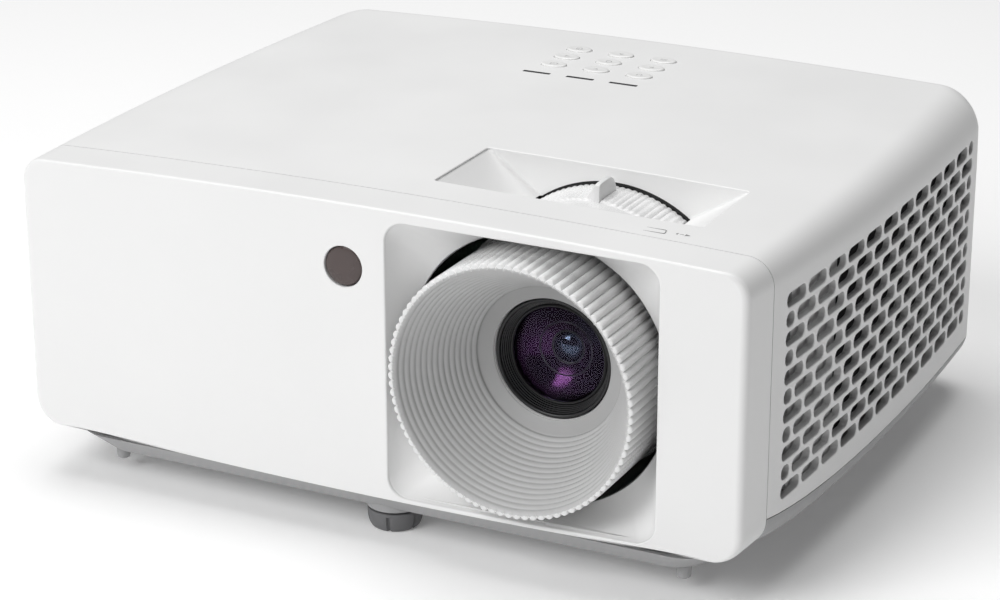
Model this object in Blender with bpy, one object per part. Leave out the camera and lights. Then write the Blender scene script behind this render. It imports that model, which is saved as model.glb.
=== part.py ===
"""Home projector: casing shells, lens with focus and zoom rings, keypad, feet, fans,
light engine and rear connectors, each as one closed solid in its own object.

Design axes (millimetres): x to the right, y to the rear with y = 0 on the front face,
z up with z = 0 on the lens axis. Everything is shifted by OFFSET at the end so that
the part's origin is the middle of its footprint on the surface it stands on.
"""
import math

import bmesh
import bpy
from mathutils import Vector

for _o in list(bpy.data.objects):
    bpy.data.objects.remove(_o, do_unlink=True)

# ---------------------------------------------------------------- driving dimensions
MM = 0.001
GAP = 0.3               # clearance between touching pieces
BODY_DEPTH = 223.0      # front face to rear face
HOOD_OUT = 7.3          # how far the focus ring stands out of the front face
FOOT_DROP = 66.0        # lens axis above the standing surface
OFFSET = (0.0, -(BODY_DEPTH - HOOD_OUT) / 2, FOOT_DROP)
SIDE_X0, SIDE_B1, SIDE_B2 = 130.594, 0.0957, 0.000359   # half width along y
WALL = 2.4              # casing wall
TOP_Z = 51.0            # top of the crown
BEZEL_END = 16.8        # parting plane between bezel and covers
REAR_R = 15.0           # rear corner radius in plan
REAR_RZ = 8.0           # rear edge radius, top and bottom
LENS_X = 54.6           # lens axis
RIM_R = 42.5            # focus ring, crests of the ribs
OPEN_R = 45.75          # round opening behind the square recess
OPEN_Y = 14.1
RECESS = 47.05          # half side of the square recess
ZOOM_R = 45.4           # zoom ring
ZOOM_Y0, ZOOM_Y1 = 36.5, 71.2
IR_X, IR_Z, IR_R = -7.6, 29.5, 6.9
ROWS, ROW_PITCH, ROW_TOP = 11, 6.414, 32.07
SLOT_Y0, SLOT_PITCH, SLOT_L, SLOT_H = 26.6, 15.49, 13.8, 4.8
KEY_X = (-15.2, 1.8, 18.9)
KEY_Y = (171.5, 182.6, 193.6)
KEY_RX, KEY_RY = 6.2, 3.9
FOOT = (0.0, 18.6)
REAR_FOOT = (100.0, 193.0)
FOCUS_RIBS = 90


# ---------------------------------------------------------------- casing shape
def half_width(y):
    return SIDE_X0 + SIDE_B1 * y - SIDE_B2 * y * y


def drop(y, a, y0, k):
    return a * (1 - math.exp(-max(0.0, y - y0) / k))


def part_z(y):
    """Height of the joint between the top cover and the bottom cover on the sides."""
    return -36.0 - drop(y, 7.2, 12, 35)


def side_bottom(y):
    return -46.8 - drop(y, 4.9, BEZEL_END, 22)


def end_inset(y, end, r):
    if r <= 0.05 or y <= end - r:
        return 0.0
    d = min(r, y - (end - r))
    return r - math.sqrt(max(0.0, r * r - d * d))


def section(y, t=0.0, n=4, mt=6, mb=4):
    """One closed outline (x, z) of the casing at depth y, offset inwards by t."""
    e_x = t + end_inset(y, BODY_DEPTH - t, REAR_R - t)
    e_z = t + end_inset(y, BODY_DEPTH - t, REAR_RZ - t)
    e_zb = e_z
    if t == 0.0:
        e_x += end_inset(2.5 - y, 2.5, 2.5)
        e_z += end_inset(0.8 - y, 0.8, 0.8)
        e_zb += end_inset(1.0 - y, 1.0, 1.0)
    hw = half_width(y) - e_x
    rt = max(1.2, 8.5 + 7.0 * min(1.0, max(0.0, y) / 200) - t - 0.35 * (e_x - t))
    rb = max(1.2, 9.5 - t - 0.35 * (e_x - t))

    def top(x):
        return TOP_Z - 1.5 * (x / 100) ** 2 - e_z

    def bot(x):
        return side_bottom(y) - 2.1 + 2.1 * min(1.0, abs(x) / 104) ** 2 + e_zb

    pts = []
    xb, xt = hw - rb, hw - rt
    for i in range(mb + 1):
        x = -xb + 2 * xb * i / mb
        pts.append((x, bot(x)))
    for i in range(1, n + 1):
        a = math.pi / 2 * i / n
        pts.append((xb + rb * math.sin(a), bot(xb) + rb - rb * math.cos(a)))
    for i in range(0, n + 1):
        a = math.pi / 2 * i / n
        pts.append((xt + rt * math.cos(a), top(xt) - rt + rt * math.sin(a)))
    for i in range(1, mt + 1):
        x = xt - 2 * xt * i / mt
        pts.append((x, top(x)))
    for i in range(1, n + 1):
        a = math.pi / 2 * i / n
        pts.append((-xt - rt * math.sin(a), top(xt) - rt + rt * math.cos(a)))
    for i in range(0, n):
        a = math.pi / 2 * i / n
        pts.append((-xb - rb * math.cos(a), bot(xb) + rb - rb * math.sin(a)))
    return pts


# ---------------------------------------------------------------- mesh helpers
def material(name, color, rough, metal=0.0):
    m = bpy.data.materials.get(name) or bpy.data.materials.new(name)
    m.use_nodes = True
    b = m.node_tree.nodes["Principled BSDF"]
    b.inputs["Base Color"].default_value = (*color, 1.0)
    b.inputs["Roughness"].default_value = rough
    b.inputs["Metallic"].default_value = metal
    return m


root = bpy.data.objects.new("projector_origin", None)
bpy.context.scene.collection.objects.link(root)
root.location = tuple(c * MM for c in OFFSET)


def new_object(name, verts, faces):
    me = bpy.data.meshes.new(name)
    me.from_pydata([Vector(v) * MM for v in verts], [], faces)
    bm = bmesh.new()
    bm.from_mesh(me)
    bmesh.ops.recalc_face_normals(bm, faces=bm.faces)
    bm.to_mesh(me)
    bm.free()
    ob = bpy.data.objects.new(name, me)
    bpy.context.scene.collection.objects.link(ob)
    return ob


def loft(name, rings, close=True):
    """Closed solid through equal-length rings of 3-D points, with flat end caps."""
    n = len(rings[0])
    verts = [p for r in rings for p in r]
    faces = []
    for i in range(len(rings) - 1):
        for j in range(n):
            k = (j + 1) % n
            faces.append((i * n + j, i * n + k, (i + 1) * n + k, (i + 1) * n + j))
    if close:
        faces.append(tuple(range(n)))
        faces.append(tuple((len(rings) - 1) * n + j for j in range(n)))
    return new_object(name, verts, faces)


def box(name, x0, x1, y0, y1, z0, z1):
    v = [(x, y, z) for z in (z0, z1) for y in (y0, y1) for x in (x0, x1)]
    f = [(0, 2, 3, 1), (4, 5, 7, 6), (0, 1, 5, 4), (2, 6, 7, 3), (0, 4, 6, 2), (1, 3, 7, 5)]
    return new_object(name, v, f)


def prism(name, outline, a, b, axis="z"):
    """Extrude a 2-D outline along an axis from a to b."""
    def put(u, v, w):
        return {"z": (u, v, w), "y": (u, w, v), "x": (w, u, v)}[axis]
    return loft(name, [[put(u, v, a) for u, v in outline], [put(u, v, b) for u, v in outline]])


def circle(cu, cv, r, n, phase=0.0):
    return [(cu + r * math.cos(2 * math.pi * (i + phase) / n),
             cv + r * math.sin(2 * math.pi * (i + phase) / n)) for i in range(n)]


def cyl(name, cu, cv, r, a, b, axis="z", n=24, r2=None):
    def put(u, v, w):
        return {"z": (u, v, w), "y": (u, w, v), "x": (w, u, v)}[axis]
    r2 = r if r2 is None else r2
    return loft(name, [[put(u, v, a) for u, v in circle(cu, cv, r, n)],
                       [put(u, v, b) for u, v in circle(cu, cv, r2, n)]])


def turned(name, profile, cu, cv, axis="y", n=32):
    """Turn a closed (radius, along) profile into a ring-shaped or solid body.
    Points at radius 0 share one vertex on the axis."""
    def put(r, a, w):
        u, v = cu + r * math.cos(a), cv + r * math.sin(a)
        return {"z": (u, v, w), "y": (u, w, v), "x": (w, u, v)}[axis]
    verts, index = [], []
    for r, w in profile:
        if r == 0:
            index.append([len(verts)] * n)
            verts.append(put(0, 0, w))
        else:
            index.append(list(range(len(verts), len(verts) + n)))
            verts += [put(r, 2 * math.pi * i / n, w) for i in range(n)]
    faces = []
    m = len(profile)
    for i in range(m):
        a, b = index[i], index[(i + 1) % m]
        for j in range(n):
            k = (j + 1) % n
            f = []
            for q in (a[j], a[k], b[k], b[j]):
                if q not in f:
                    f.append(q)
            if len(f) > 2:
                faces.append(tuple(f))
    return new_object(name, verts, faces)


def combine(name, obs):
    """Join separate bodies into one object, used only as a cutting or joining operand."""
    bm = bmesh.new()
    for o in obs:
        bm.from_mesh(o.data)
    me = bpy.data.meshes.new(name)
    bm.to_mesh(me)
    bm.free()
    for o in obs:
        bpy.data.objects.remove(o, do_unlink=True)
    ob = bpy.data.objects.new(name, me)
    bpy.context.scene.collection.objects.link(ob)
    return ob


def boolean(ob, other, op="DIFFERENCE"):
    """Apply one exact boolean; other is one object or a list of separate ones."""
    if isinstance(other, (list, tuple)):
        other = combine("operand", other)
    mod = ob.modifiers.new("cut", "BOOLEAN")
    mod.operation = op
    mod.solver = "EXACT"
    mod.object = other
    dg = bpy.context.evaluated_depsgraph_get()
    me = bpy.data.meshes.new_from_object(ob.evaluated_get(dg))
    ob.modifiers.clear()
    old = ob.data
    ob.data = me
    bpy.data.meshes.remove(old)
    bpy.data.objects.remove(other, do_unlink=True)
    return ob


def tidy(ob, angle=0.4):
    bm = bmesh.new()
    bm.from_mesh(ob.data)
    bmesh.ops.remove_doubles(bm, verts=bm.verts, dist=2e-6)
    bmesh.ops.dissolve_limit(bm, angle_limit=math.radians(angle), verts=bm.verts, edges=bm.edges)
    bmesh.ops.dissolve_degenerate(bm, edges=bm.edges, dist=2e-6)
    bmesh.ops.triangulate(bm, faces=[f for f in bm.faces if len(f.verts) > 4])
    bm.to_mesh(ob.data)
    bm.free()
    return ob


def place(ob, name, mat, origin=(0.0, 0.0, 0.0)):
    """Name the piece, give it its material, and put its origin where it turns or slides."""
    ob.name = name
    ob.data.name = name
    ob.data.materials.clear()
    ob.data.materials.append(mat)
    o = Vector(origin) * MM
    for v in ob.data.vertices:
        v.co -= o
    ob.parent = root
    ob.location = o
    me = ob.data
    me.shade_smooth()
    me.set_sharp_from_angle(angle=math.radians(35))
    return ob


# ---------------------------------------------------------------- materials
white = material("white_shell", (0.86, 0.86, 0.85), 0.42)
white_ring = material("ring_plastic", (0.80, 0.80, 0.80), 0.45)
grey = material("grey_base", (0.36, 0.36, 0.36), 0.55)
black = material("black_plastic", (0.02, 0.02, 0.02), 0.35)
rubber = material("foot_rubber", (0.12, 0.12, 0.12), 0.8)
glass = material("lens_glass", (0.10, 0.06, 0.14), 0.05)
ir_mat = material("ir_filter", (0.06, 0.04, 0.04), 0.12)
alu = material("aluminium", (0.62, 0.63, 0.64), 0.35, 1.0)
steel = material("steel", (0.50, 0.50, 0.51), 0.35, 1.0)
pcb = material("circuit_board", (0.02, 0.16, 0.06), 0.55)
led = material("light_pipe", (0.15, 0.15, 0.16), 0.3)
phosphor = material("phosphor_ring", (0.75, 0.62, 0.10), 0.5)

# ---------------------------------------------------------------- casing blanks
Y_FRONT = [0.0, 0.3, 0.8, 1.5, 2.5, BEZEL_END]
Y_BODY = [40.0, 80.0, 133.3, 180.0]
Y_REAR = [208.0, 214.0, 218.0, 221.0, 222.6, 223.0]


def casing(name, ys, t=0.0, **kw):
    return loft(name, [[(x, y, z) for x, z in section(y, t, **kw)] for y in ys])


def inner_casing(name, y0):
    end = BODY_DEPTH - WALL
    ys = [y0] + [y for y in [BEZEL_END] + Y_BODY if y > y0 + 1]
    ys += [end - 12.6, end - 6.0, end - 2.0, end]
    return casing(name, ys, WALL, n=3, mt=4, mb=2)


def side_strip(name, dz, y0, lo):
    """Block below the joint line of the covers, from y0 to behind the rear face."""
    ys = [y0, 24.0, 34.0, 48.0, 66.0, 96.0, 140.0, 240.0]
    rings = []
    for y in ys:
        z = part_z(y) + dz
        rings.append([(-160, y, lo), (160, y, lo), (160, y, z), (-160, y, z)])
    return loft(name, rings)


# ---------------------------------------------------------------- front bezel
def rounded_square(half, r, z0, n):
    """Rounded square outline with 4*(n+1) points, x to the right, corners first at +x +z."""
    pts = []
    for q, (sx, sz) in enumerate(((1, 1), (-1, 1), (-1, -1), (1, -1))):
        for i in range(n + 1):
            a = math.pi / 2 * (q + i / n)
            pts.append((LENS_X + sx * (half - r) + r * math.cos(a),
                        z0 + sz * (half - r) + r * math.sin(a)))
    return pts


def funnel(name, grow, y0, y1, n=6, tail=0.0):
    """Passage from the square recess in the face to the round opening behind it."""
    count = 4 * (n + 1)
    sq = rounded_square(RECESS + grow, 7.0 + grow, 0.0, n)
    ang = []
    for q in range(4):
        for i in range(n + 1):
            ang.append(math.pi / 2 * (q + 0.02 + 0.96 * i / n))
    rings = []
    steps = (0.0, 0.3, 0.65, 1.0)
    for s in steps:
        k = s ** 1.6
        ring = []
        for j in range(count):
            cx = LENS_X + (OPEN_R + grow) * math.cos(ang[j])
            cz = (OPEN_R + grow) * math.sin(ang[j])
            ring.append((sq[j][0] * (1 - k) + cx * k, y0 + (y1 - y0) * s, sq[j][1] * (1 - k) + cz * k))
        rings.append(ring)
    if tail:
        rings.append([(x, y + tail, z) for x, _, z in [rings[-1][j] for j in range(count)] for y in (y1,)])
    rings[0] = [(x, -2.0 if grow == 0 else 2.6, z) for x, y, z in rings[0]]
    return loft(name, rings)


bezel = casing("bezel_blank", Y_FRONT)
cavity = casing("cavity", [3.0, BEZEL_END + 4], WALL, n=3, mt=4, mb=2)
boolean(cavity, funnel("funnel_wall", 1.9, 2.6, OPEN_Y, tail=0.01))
boolean(bezel, cavity)
boolean(bezel, funnel("recess", 0.0, 0.0, OPEN_Y, tail=4.0))
boolean(bezel, [cyl("ir_hole", IR_X, IR_Z, IR_R, -3, 6, "y", 28),
                cyl("foot_notch", FOOT[0], FOOT[1], 6.2, -60, -40, "z", 20)])
place(tidy(bezel), "front_bezel", white)

# round window in front of the remote-control receiver
ir = turned("ir", [(0, 0.15), (5.2, 0.25), (IR_R - GAP, 0.75), (IR_R - GAP, 3.0), (IR_R + 1.2, 3.3),
                   (IR_R + 1.2, 4.6), (0, 4.6)], IR_X, IR_Z, "y", 28)
place(ir, "ir_window", ir_mat, (IR_X, 0, IR_Z))

# ---------------------------------------------------------------- top cover
top = casing("top_blank", [BEZEL_END + GAP] + Y_BODY + Y_REAR)
boolean(top, inner_casing("inside", BEZEL_END - 2))
boolean(top, side_strip("below", GAP / 2, 10.0, -80))

PX0, PX1, PY0, PY1 = 8.0, 101.9, 33.0, 71.9     # pocket over the zoom ring
pocket = prism("pocket", [(PX0 - 2.4, 47.5), (PX0 - 2.4, 50.0), (PX1 + 2.4, 50.0), (PX1 + 2.4, 47.5),
                          (84.6, 37.0), (24.6, 37.0)], PY0 - 2.0, PY1 + 2.0, "y")
boolean(top, pocket, "UNION")
inner = prism("pocket_in", [(PX0, 51.0), (PX0, 60.0), (PX1, 60.0), (PX1, 51.0), (81.9, 37.5), (81.9, 30.0),
                            (27.3, 30.0), (27.3, 37.5)], PY0, PY1, "y")
boolean(top, inner)
cuts = [box("win_r", 100, 150, 24.2, 207.0, -36, 36), box("win_l", -150, -100, 24.2, 207.0, -36, 36),
        box("rear_open", -116, 116, 217, 230, -60, 26)]
boolean(top, cuts)


def oval(cx, cy, rx, ry, n=14):
    return [(cx + rx * math.cos(2 * math.pi * i / n), cy + ry * math.sin(2 * math.pi * i / n)) for i in range(n)]


cuts = [prism("key_hole", oval(x, y, KEY_RX + 0.35, KEY_RY + 0.35), 40, 60) for x in KEY_X for y in KEY_Y]
LED_X = (-16.5, 0.8, 17.9)
cuts += [box("led_slot", x - 5.4, x + 5.4, 159.1, 160.3, 40, 60) for x in LED_X]
boolean(top, cuts)
SCREWS = ((-106.0, 76.0), (106.0, 76.0), (-84.0, 196.0), (84.0, 196.0))
posts = [cyl("post", x, y, 3.4, -48.0, 48.5, "z", 10) for x, y in SCREWS]
boolean(top, posts, "UNION")
boolean(top, [cyl("pilot", x, y, 1.7, -50, -38, "z", 8) for x, y in SCREWS])
place(tidy(top), "top_cover", white)

# ---------------------------------------------------------------- bottom cover
bottom = casing("bottom_blank", [BEZEL_END + GAP] + Y_BODY + Y_REAR)
keep = side_strip("keep", -GAP / 2, 10.0, -80)
boolean(bottom, keep, "INTERSECT")


def tray_ring(half_x, y0, y1, r, z, n=3):
    pts = []
    for sx, cy, a0 in ((1, y1, 0), (-1, y1, 1), (-1, y0, 2), (1, y0, 3)):
        yy = cy - r if cy == y1 else cy + r
        for i in range(n + 1):
            a = math.pi / 2 * (a0 + i / n)
            pts.append((sx * (half_x - r) + r * math.cos(a), yy + r * math.sin(a), z))
    return pts


TRAY_Z = -57.0
tray = loft("tray", [tray_ring(119.5, 3.0, 212, 14, -49.4), tray_ring(118.5, 4.2, 211, 14, -50.6),
                     tray_ring(112.5, 9.6, 206, 12, -56.4), tray_ring(110.5, 11.2, 204, 12, TRAY_Z)])
boolean(bottom, tray, "UNION")
hollow = inner_casing("hollow", BEZEL_END - 2)
boolean(bottom, hollow)
pan = loft("pan", [tray_ring(116.6, 5.9, 209, 12, -51.7), tray_ring(115.6, 7.0, 208, 12, -52.4),
                   tray_ring(111.0, 11.0, 204.6, 10, -54.7)])
boolean(bottom, pan)
chimney = loft("chimney", [tray_ring(116.6, BEZEL_END + 2.6, 209, 12, -53.0),
                           tray_ring(116.6, BEZEL_END + 2.6, 209, 12, -44.0)])
boolean(bottom, chimney)
boolean(bottom, box("rear_low", -116, 116, 217, 230, -40.4, -20))
FEET = (FOOT, (-REAR_FOOT[0], REAR_FOOT[1]), REAR_FOOT)
bosses = []
for x, y in FEET:
    bosses.append(turned("boss", [(0, -59.0), (9.8, -59.0), (9.9, -56.0), (5.3, -55.0), (5.3, -40.5), (0, -40.5)],
                         x, y, "z", 20))
boolean(bottom, bosses, "UNION")
boolean(bottom, [cyl("bore", x, y, 3.4, -61, -38, "z", 16) for x, y in FEET])
boolean(bottom, [turned("screw_seat", [(0, -60), (3.6, -60), (3.6, -55.4), (1.9, -55.3), (1.9, -50), (0, -50)],
                        x, y, "z", 12) for x, y in SCREWS])
place(tidy(bottom), "bottom_cover", grey)

# ---------------------------------------------------------------- rear connector panel
panel = box("panel", -115.7, 115.7, 218.9, 221.4, -43.0, 25.7)
PORTS = {  # name: (x centre, z centre, half width, half height)
    "ac_inlet": (-92.0, -17.0, 13.6, 10.0),
    "hdmi_port_a": (-50.0, -22.0, 7.8, 3.2),
    "hdmi_port_b": (-28.0, -22.0, 7.8, 3.2),
    "usb_port": (-8.0, -21.5, 6.9, 3.4),
    "lan_port": (14.0, -19.0, 8.0, 6.8),
    "serial_port": (46.0, -19.5, 15.6, 6.4),
}
AUDIO = ((74.0, -21.0),)
boolean(panel, [box("hole", cx - hx - GAP, cx + hx + GAP, 210, 230, cz - hz - GAP, cz + hz + GAP)
                for cx, cz, hx, hz in PORTS.values()] +
        [cyl("jack_hole", x, z, 3.9, 210, 230, "y", 16) for x, z in AUDIO] +
        [box("vent", x - 1.3, x + 1.3, 210, 230, 2, 20) for x in [20 + 5.2 * i for i in range(16)]])
place(tidy(panel), "rear_panel", grey)


def port(name, mouth, mat, depth=13.0):
    """Connector shell with its open mouth to the rear and a tongue or pins inside."""
    cx, cz, hx, hz = PORTS[name]
    ob = box(name, cx - hx, cx + hx, 221.9 - depth, 221.9, cz - hz, cz + hz)
    wall = 0.8 if hz < 8 else 2.2
    mx, mz = hx - wall, hz - wall
    boolean(ob, box("mouth", cx - mx, cx + mx, 221.9 - mouth, 230, cz - mz, cz + mz))
    if name in ("hdmi_port_a", "hdmi_port_b", "usb_port"):
        boolean(ob, box("tongue", cx - mx * 0.72, cx + mx * 0.72, 221.9 - mouth - 1, 220.5, cz - 0.7, cz + 0.7),
                "UNION")
    if name == "ac_inlet":
        boolean(ob, [box("pin", cx + d - 1.1, cx + d + 1.1, 221.9 - mouth - 1, 219.5, cz + e - 2.3, cz + e + 2.3)
                     for d, e in ((-6, -1), (0, 2), (6, -1))], "UNION")
    place(ob, name, mat)


port("ac_inlet", 11.0, black, 17.0)
port("hdmi_port_a", 9.0, steel)
port("hdmi_port_b", 9.0, steel)
port("usb_port", 9.0, steel)
port("lan_port", 10.0, black)
port("serial_port", 5.0, steel)
for x, z in AUDIO:
    ob = turned("jack", [(1.8, 222.2), (3.6, 222.2), (3.6, 209.5), (0, 209.5), (0, 212), (1.8, 212)], x, z, "y", 16)
    place(ob, "audio_jack", black, (x, 0, z))

# ---------------------------------------------------------------- side grilles
def zipper(faces, lower, upper, flip):
    """Triangles between two chains of vertices that run the same way in y."""
    i = j = 0
    while i < len(lower) - 1 or j < len(upper) - 1:
        take_low = j == len(upper) - 1 or (i < len(lower) - 1 and lower[i + 1][1] <= upper[j + 1][1])
        if take_low:
            f = (lower[i][0], lower[i + 1][0], upper[j][0])
            i += 1
        else:
            f = (lower[i][0], upper[j + 1][0], upper[j][0])
            j += 1
        faces.append(f if flip else f[::-1])


def grille(name, side, rows, mat, thick=2.2):
    """Curved plate that follows the casing side, with rows of slots: rows is a list of
    (z centre, half height, [(y0, y1), ...])."""
    y0, y1, z0, z1 = 24.5, 206.7, -35.7, 35.7
    verts, faces = [], []
    bend = [y0, 60.0, 96.0, 133.3, 170.0, y1]

    def vert(y, z, layer):
        verts.append((side * (half_width(y) - layer * thick), y, z))
        return len(verts) - 1
    for layer in (0, 1):
        flip = layer == 0
        below = [(vert(y, z0, layer), y) for y in bend]
        if layer == 0:
            first0 = below
        else:
            first1 = below
        for zc, h, slots in rows:
            ys = sorted({y0, y1, *[s[0] for s in slots], *[s[1] for s in slots]})
            low = [(vert(y, zc - h, layer), y) for y in ys]
            high = [(vert(y, zc + h, layer), y) for y in ys]
            zipper(faces, below, low, flip)
            spans = [tuple(s) for s in slots]
            for i in range(len(ys) - 1):
                if (ys[i], ys[i + 1]) not in spans:
                    f = (low[i][0], low[i + 1][0], high[i + 1][0], high[i][0])
                    faces.append(f if flip else f[::-1])
            below = high
            rows_index.setdefault((zc, layer), (low, high, ys, spans))
        last = [(vert(y, z1, layer), y) for y in bend]
        zipper(faces, below, last, flip)
        if layer == 0:
            last0 = last
        else:
            last1 = last
    # edges of the plate and of every slot
    for a, b in ((first0, first1), (last0, last1)):
        for i in range(len(a) - 1):
            faces.append((a[i][0], a[i + 1][0], b[i + 1][0], b[i][0]))
    chain = [(first0[0], first1[0], first0[-1], first1[-1])]
    for zc, h, slots in rows:
        l0, h0, ys, spans = rows_index[(zc, 0)]
        l1, h1, _, _ = rows_index[(zc, 1)]
        chain.append((l0[0], l1[0], l0[-1], l1[-1]))
        chain.append((h0[0], h1[0], h0[-1], h1[-1]))
        for i in range(len(ys) - 1):
            if (ys[i], ys[i + 1]) in spans:
                q0 = (l0[i][0], l0[i + 1][0], h0[i + 1][0], h0[i][0])
                q1 = (l1[i][0], l1[i + 1][0], h1[i + 1][0], h1[i][0])
                for a in range(4):
                    b = (a + 1) % 4
                    faces.append((q0[a], q0[b], q1[b], q1[a]))
    chain.append((last0[0], last1[0], last0[-1], last1[-1]))
    for a, b in zip(chain, chain[1:]):
        faces.append((a[0][0], a[1][0], b[1][0], b[0][0]))
        faces.append((a[2][0], a[3][0], b[3][0], b[2][0]))
    return place(new_object(name, verts, faces), name, mat)


rows_index = {}
brick = []
for r in range(ROWS - 1, -1, -1):
    zc = ROW_TOP - r * ROW_PITCH
    slots = []
    if r % 2 == 0:
        slots = [(SLOT_Y0 + k * SLOT_PITCH, SLOT_Y0 + k * SLOT_PITCH + SLOT_L) for k in range(11)]
        slots.append((SLOT_Y0 + 11 * SLOT_PITCH, SLOT_Y0 + 11 * SLOT_PITCH + SLOT_L / 2 - 1))
    else:
        slots = [(SLOT_Y0, SLOT_Y0 + SLOT_L / 2 - 1)]
        slots += [(SLOT_Y0 + (k + .5) * SLOT_PITCH, SLOT_Y0 + (k + .5) * SLOT_PITCH + SLOT_L) for k in range(11)]
    brick.append((zc, SLOT_H / 2, slots))
grille("intake_grille", 1, brick, white)
rows_index = {}
louvre = [(ROW_TOP - r * ROW_PITCH, SLOT_H / 2, [(SLOT_Y0 + k * 4 * SLOT_PITCH * 0.72,
           SLOT_Y0 + (k + 1) * 4 * SLOT_PITCH * 0.72 - 1.7) for k in range(4)]) for r in range(ROWS - 1, -1, -1)]
grille("exhaust_grille", -1, louvre, white)

# ---------------------------------------------------------------- lens: focus ring with hood
A = (LENS_X, 0.0)


def ribbed(name, outer_r, valley, ribs, y0, y1, mat_n=None):
    """Closed ring outline with one crest and one valley for each rib."""
    pts = []
    for i in range(ribs * 2):
        r = outer_r if i % 2 == 0 else valley
        a = math.pi * i / ribs
        pts.append((A[0] + r * math.cos(a), A[1] + r * math.sin(a)))
    return prism(name, pts, y0, y1, "y")


focus = turned("focus", [(41.9, -HOOD_OUT), (41.9, 30.4), (39.6, 30.4), (39.6, 9.0), (27.0, 24.6), (23.2, 26.4),
                         (23.2, 44.2), (20.7, 44.2), (20.7, 24.0), (25.6, 22.45), (40.9, -HOOD_OUT)],
               A[0], A[1], "y", 44)
place(focus, "focus_ring", white_ring, (LENS_X, 0, 0))

cell = turned("cell", [(20.2, 24.9), (20.2, 52.0), (16.4, 52.0), (16.4, 42.0), (14.0, 41.0), (14.0, 36.6), (15.6, 36.0),
                       (15.6, 30.2), (18.0, 28.0), (19.3, 24.9)], A[0], A[1], "y", 28)
place(cell, "front_lens_cell", black, (LENS_X, 0, 0))
ret = turned("ret", [(15.2, 28.8), (15.2, 29.9), (13.6, 29.9), (13.6, 29.2)], A[0], A[1], "y", 28)
place(ret, "lens_retaining_ring", black, (LENS_X, 0, 0))
fl = turned("front_lens", [(0, 28.2), (5.0, 28.5), (9.5, 29.4), (13.2, 30.3), (15.2, 30.9), (15.2, 35.4), (11, 34.6), (0, 34.0)],
            A[0], A[1], "y", 24)
place(fl, "front_lens", glass, (LENS_X, 0, 0))

zoom = turned("zoom", [(44.9, ZOOM_Y0), (44.9, ZOOM_Y1), (42.6, ZOOM_Y1), (42.6, 55.0), (26.0, 55.0), (26.0, 66.0),
                       (23.5, 66.0), (23.5, 46.0), (26.0, 46.0), (26.0, 52.4), (42.6, 52.4), (42.6, ZOOM_Y0)],
              A[0], A[1], "y", 40)
lever = prism("lever", [(LENS_X - 2.6, 43.8), (LENS_X + 2.6, 43.8), (LENS_X + 2.2, 49.6), (LENS_X - 2.2, 49.6)],
              52.0, 69.5, "y")
boolean(zoom, lever, "UNION")
place(tidy(zoom), "zoom_ring", white_ring, (LENS_X, 0, 0))

zc = turned("zoom_cell", [(20.3, 58.0), (20.3, 84.0), (14.0, 84.0), (14.0, 74.0), (15.6, 73.0), (15.6, 66.0),
                          (17.5, 65.0), (17.5, 58.0)], A[0], A[1], "y", 24)
place(zc, "zoom_lens_cell", black, (LENS_X, 0, 0))
zl = turned("zoom_lens", [(0, 64.8), (10, 65.6), (15.3, 67.2), (15.3, 71.0), (9, 72.6), (0, 73.2)], A[0], A[1], "y", 28)
place(zl, "zoom_lens", glass, (LENS_X, 0, 0))

mount = turned("mount", [(20.7, 45.6), (23.1, 45.6), (23.1, 92.0), (30.0, 94.0), (30.0, 98.0), (17.0, 98.0), (17.0, 92.0),
                         (20.7, 90.0)], A[0], A[1], "y", 28)
flange = box("flange", 20, 89.2, 94.0, 98.0, -33, 33)
hole = cyl("through", A[0], A[1], 17.0, 90, 100, "y", 28)
boolean(flange, hole)
boolean(mount, flange, "UNION")
legs = [box("leg", x, x + 10, 92.0, 98.0, -54.3, -20) for x in (22, 77)]
boolean(mount, legs, "UNION")
place(tidy(mount), "lens_mount", alu)

# ---------------------------------------------------------------- light engine
engine = box("engine", 22, 88, 98.4, 148, -27, 27)
boolean(engine, [box("step", 10, 52, 124, 160, -40, -12), box("port", 40, 70, 90, 112, -14, 14)])
boolean(engine, box("light_in", 10, 42, 101, 118, -10, 10))
place(tidy(engine), "optical_engine", alu)


def heat_sink(name, x0, x1, y0, y1, z0, z1, base, fins, axis, mat=alu):
    """Base plate with fins; axis is the direction the fins stand out along."""
    parts = []
    if axis == "y":
        ob = box(name, x0, x1, y0, y0 + base, z0, z1)
        step = (x1 - x0) / (2 * fins - 1)
        parts = [box("fin", x0 + 2 * i * step, x0 + (2 * i + 1) * step, y0 + base - 1, y1, z0, z1) for i in range(fins)]
    else:
        ob = box(name, x1 - base, x1, y0, y1, z0, z1)
        step = (z1 - z0) / (2 * fins - 1)
        parts = [box("fin", x0, x1 - base + 1, y0, y1, z0 + 2 * i * step, z0 + (2 * i + 1) * step) for i in range(fins)]
    boolean(ob, parts, "UNION")
    place(tidy(ob), name, mat)


heat_sink("dmd_heat_sink", 56, 86, 148.4, 172, -22, 22, 4, 6, "y")
heat_sink("laser_heat_sink", -105, -72, 118, 172, -34, 34, 5, 10, "x")
laser = box("laser", -71.6, 8, 121, 165, -24, 22)
boolean(laser, [box("step", -60, 20, 150, 170, -30, 30), box("notch", -40, -10, 110, 128, 8, 30)])
place(tidy(laser), "laser_module", alu)
wheel = turned("wheel", [(22.0, 12.6), (22.0, 14.1), (0, 14.1), (0, 12.6)], 97.0, 0.0, "x", 32)
place(wheel, "phosphor_wheel", phosphor, (12.6, 97.0, 0.0))
motor = turned("motor", [(9.5, 0.0), (10.0, 0.6), (10.0, 11.4), (3.0, 12.2), (0, 12.2), (0, 0.0)], 97.0, 0.0, "x", 20)
place(motor, "wheel_motor", steel, (6, 97.0, 0.0))


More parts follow.
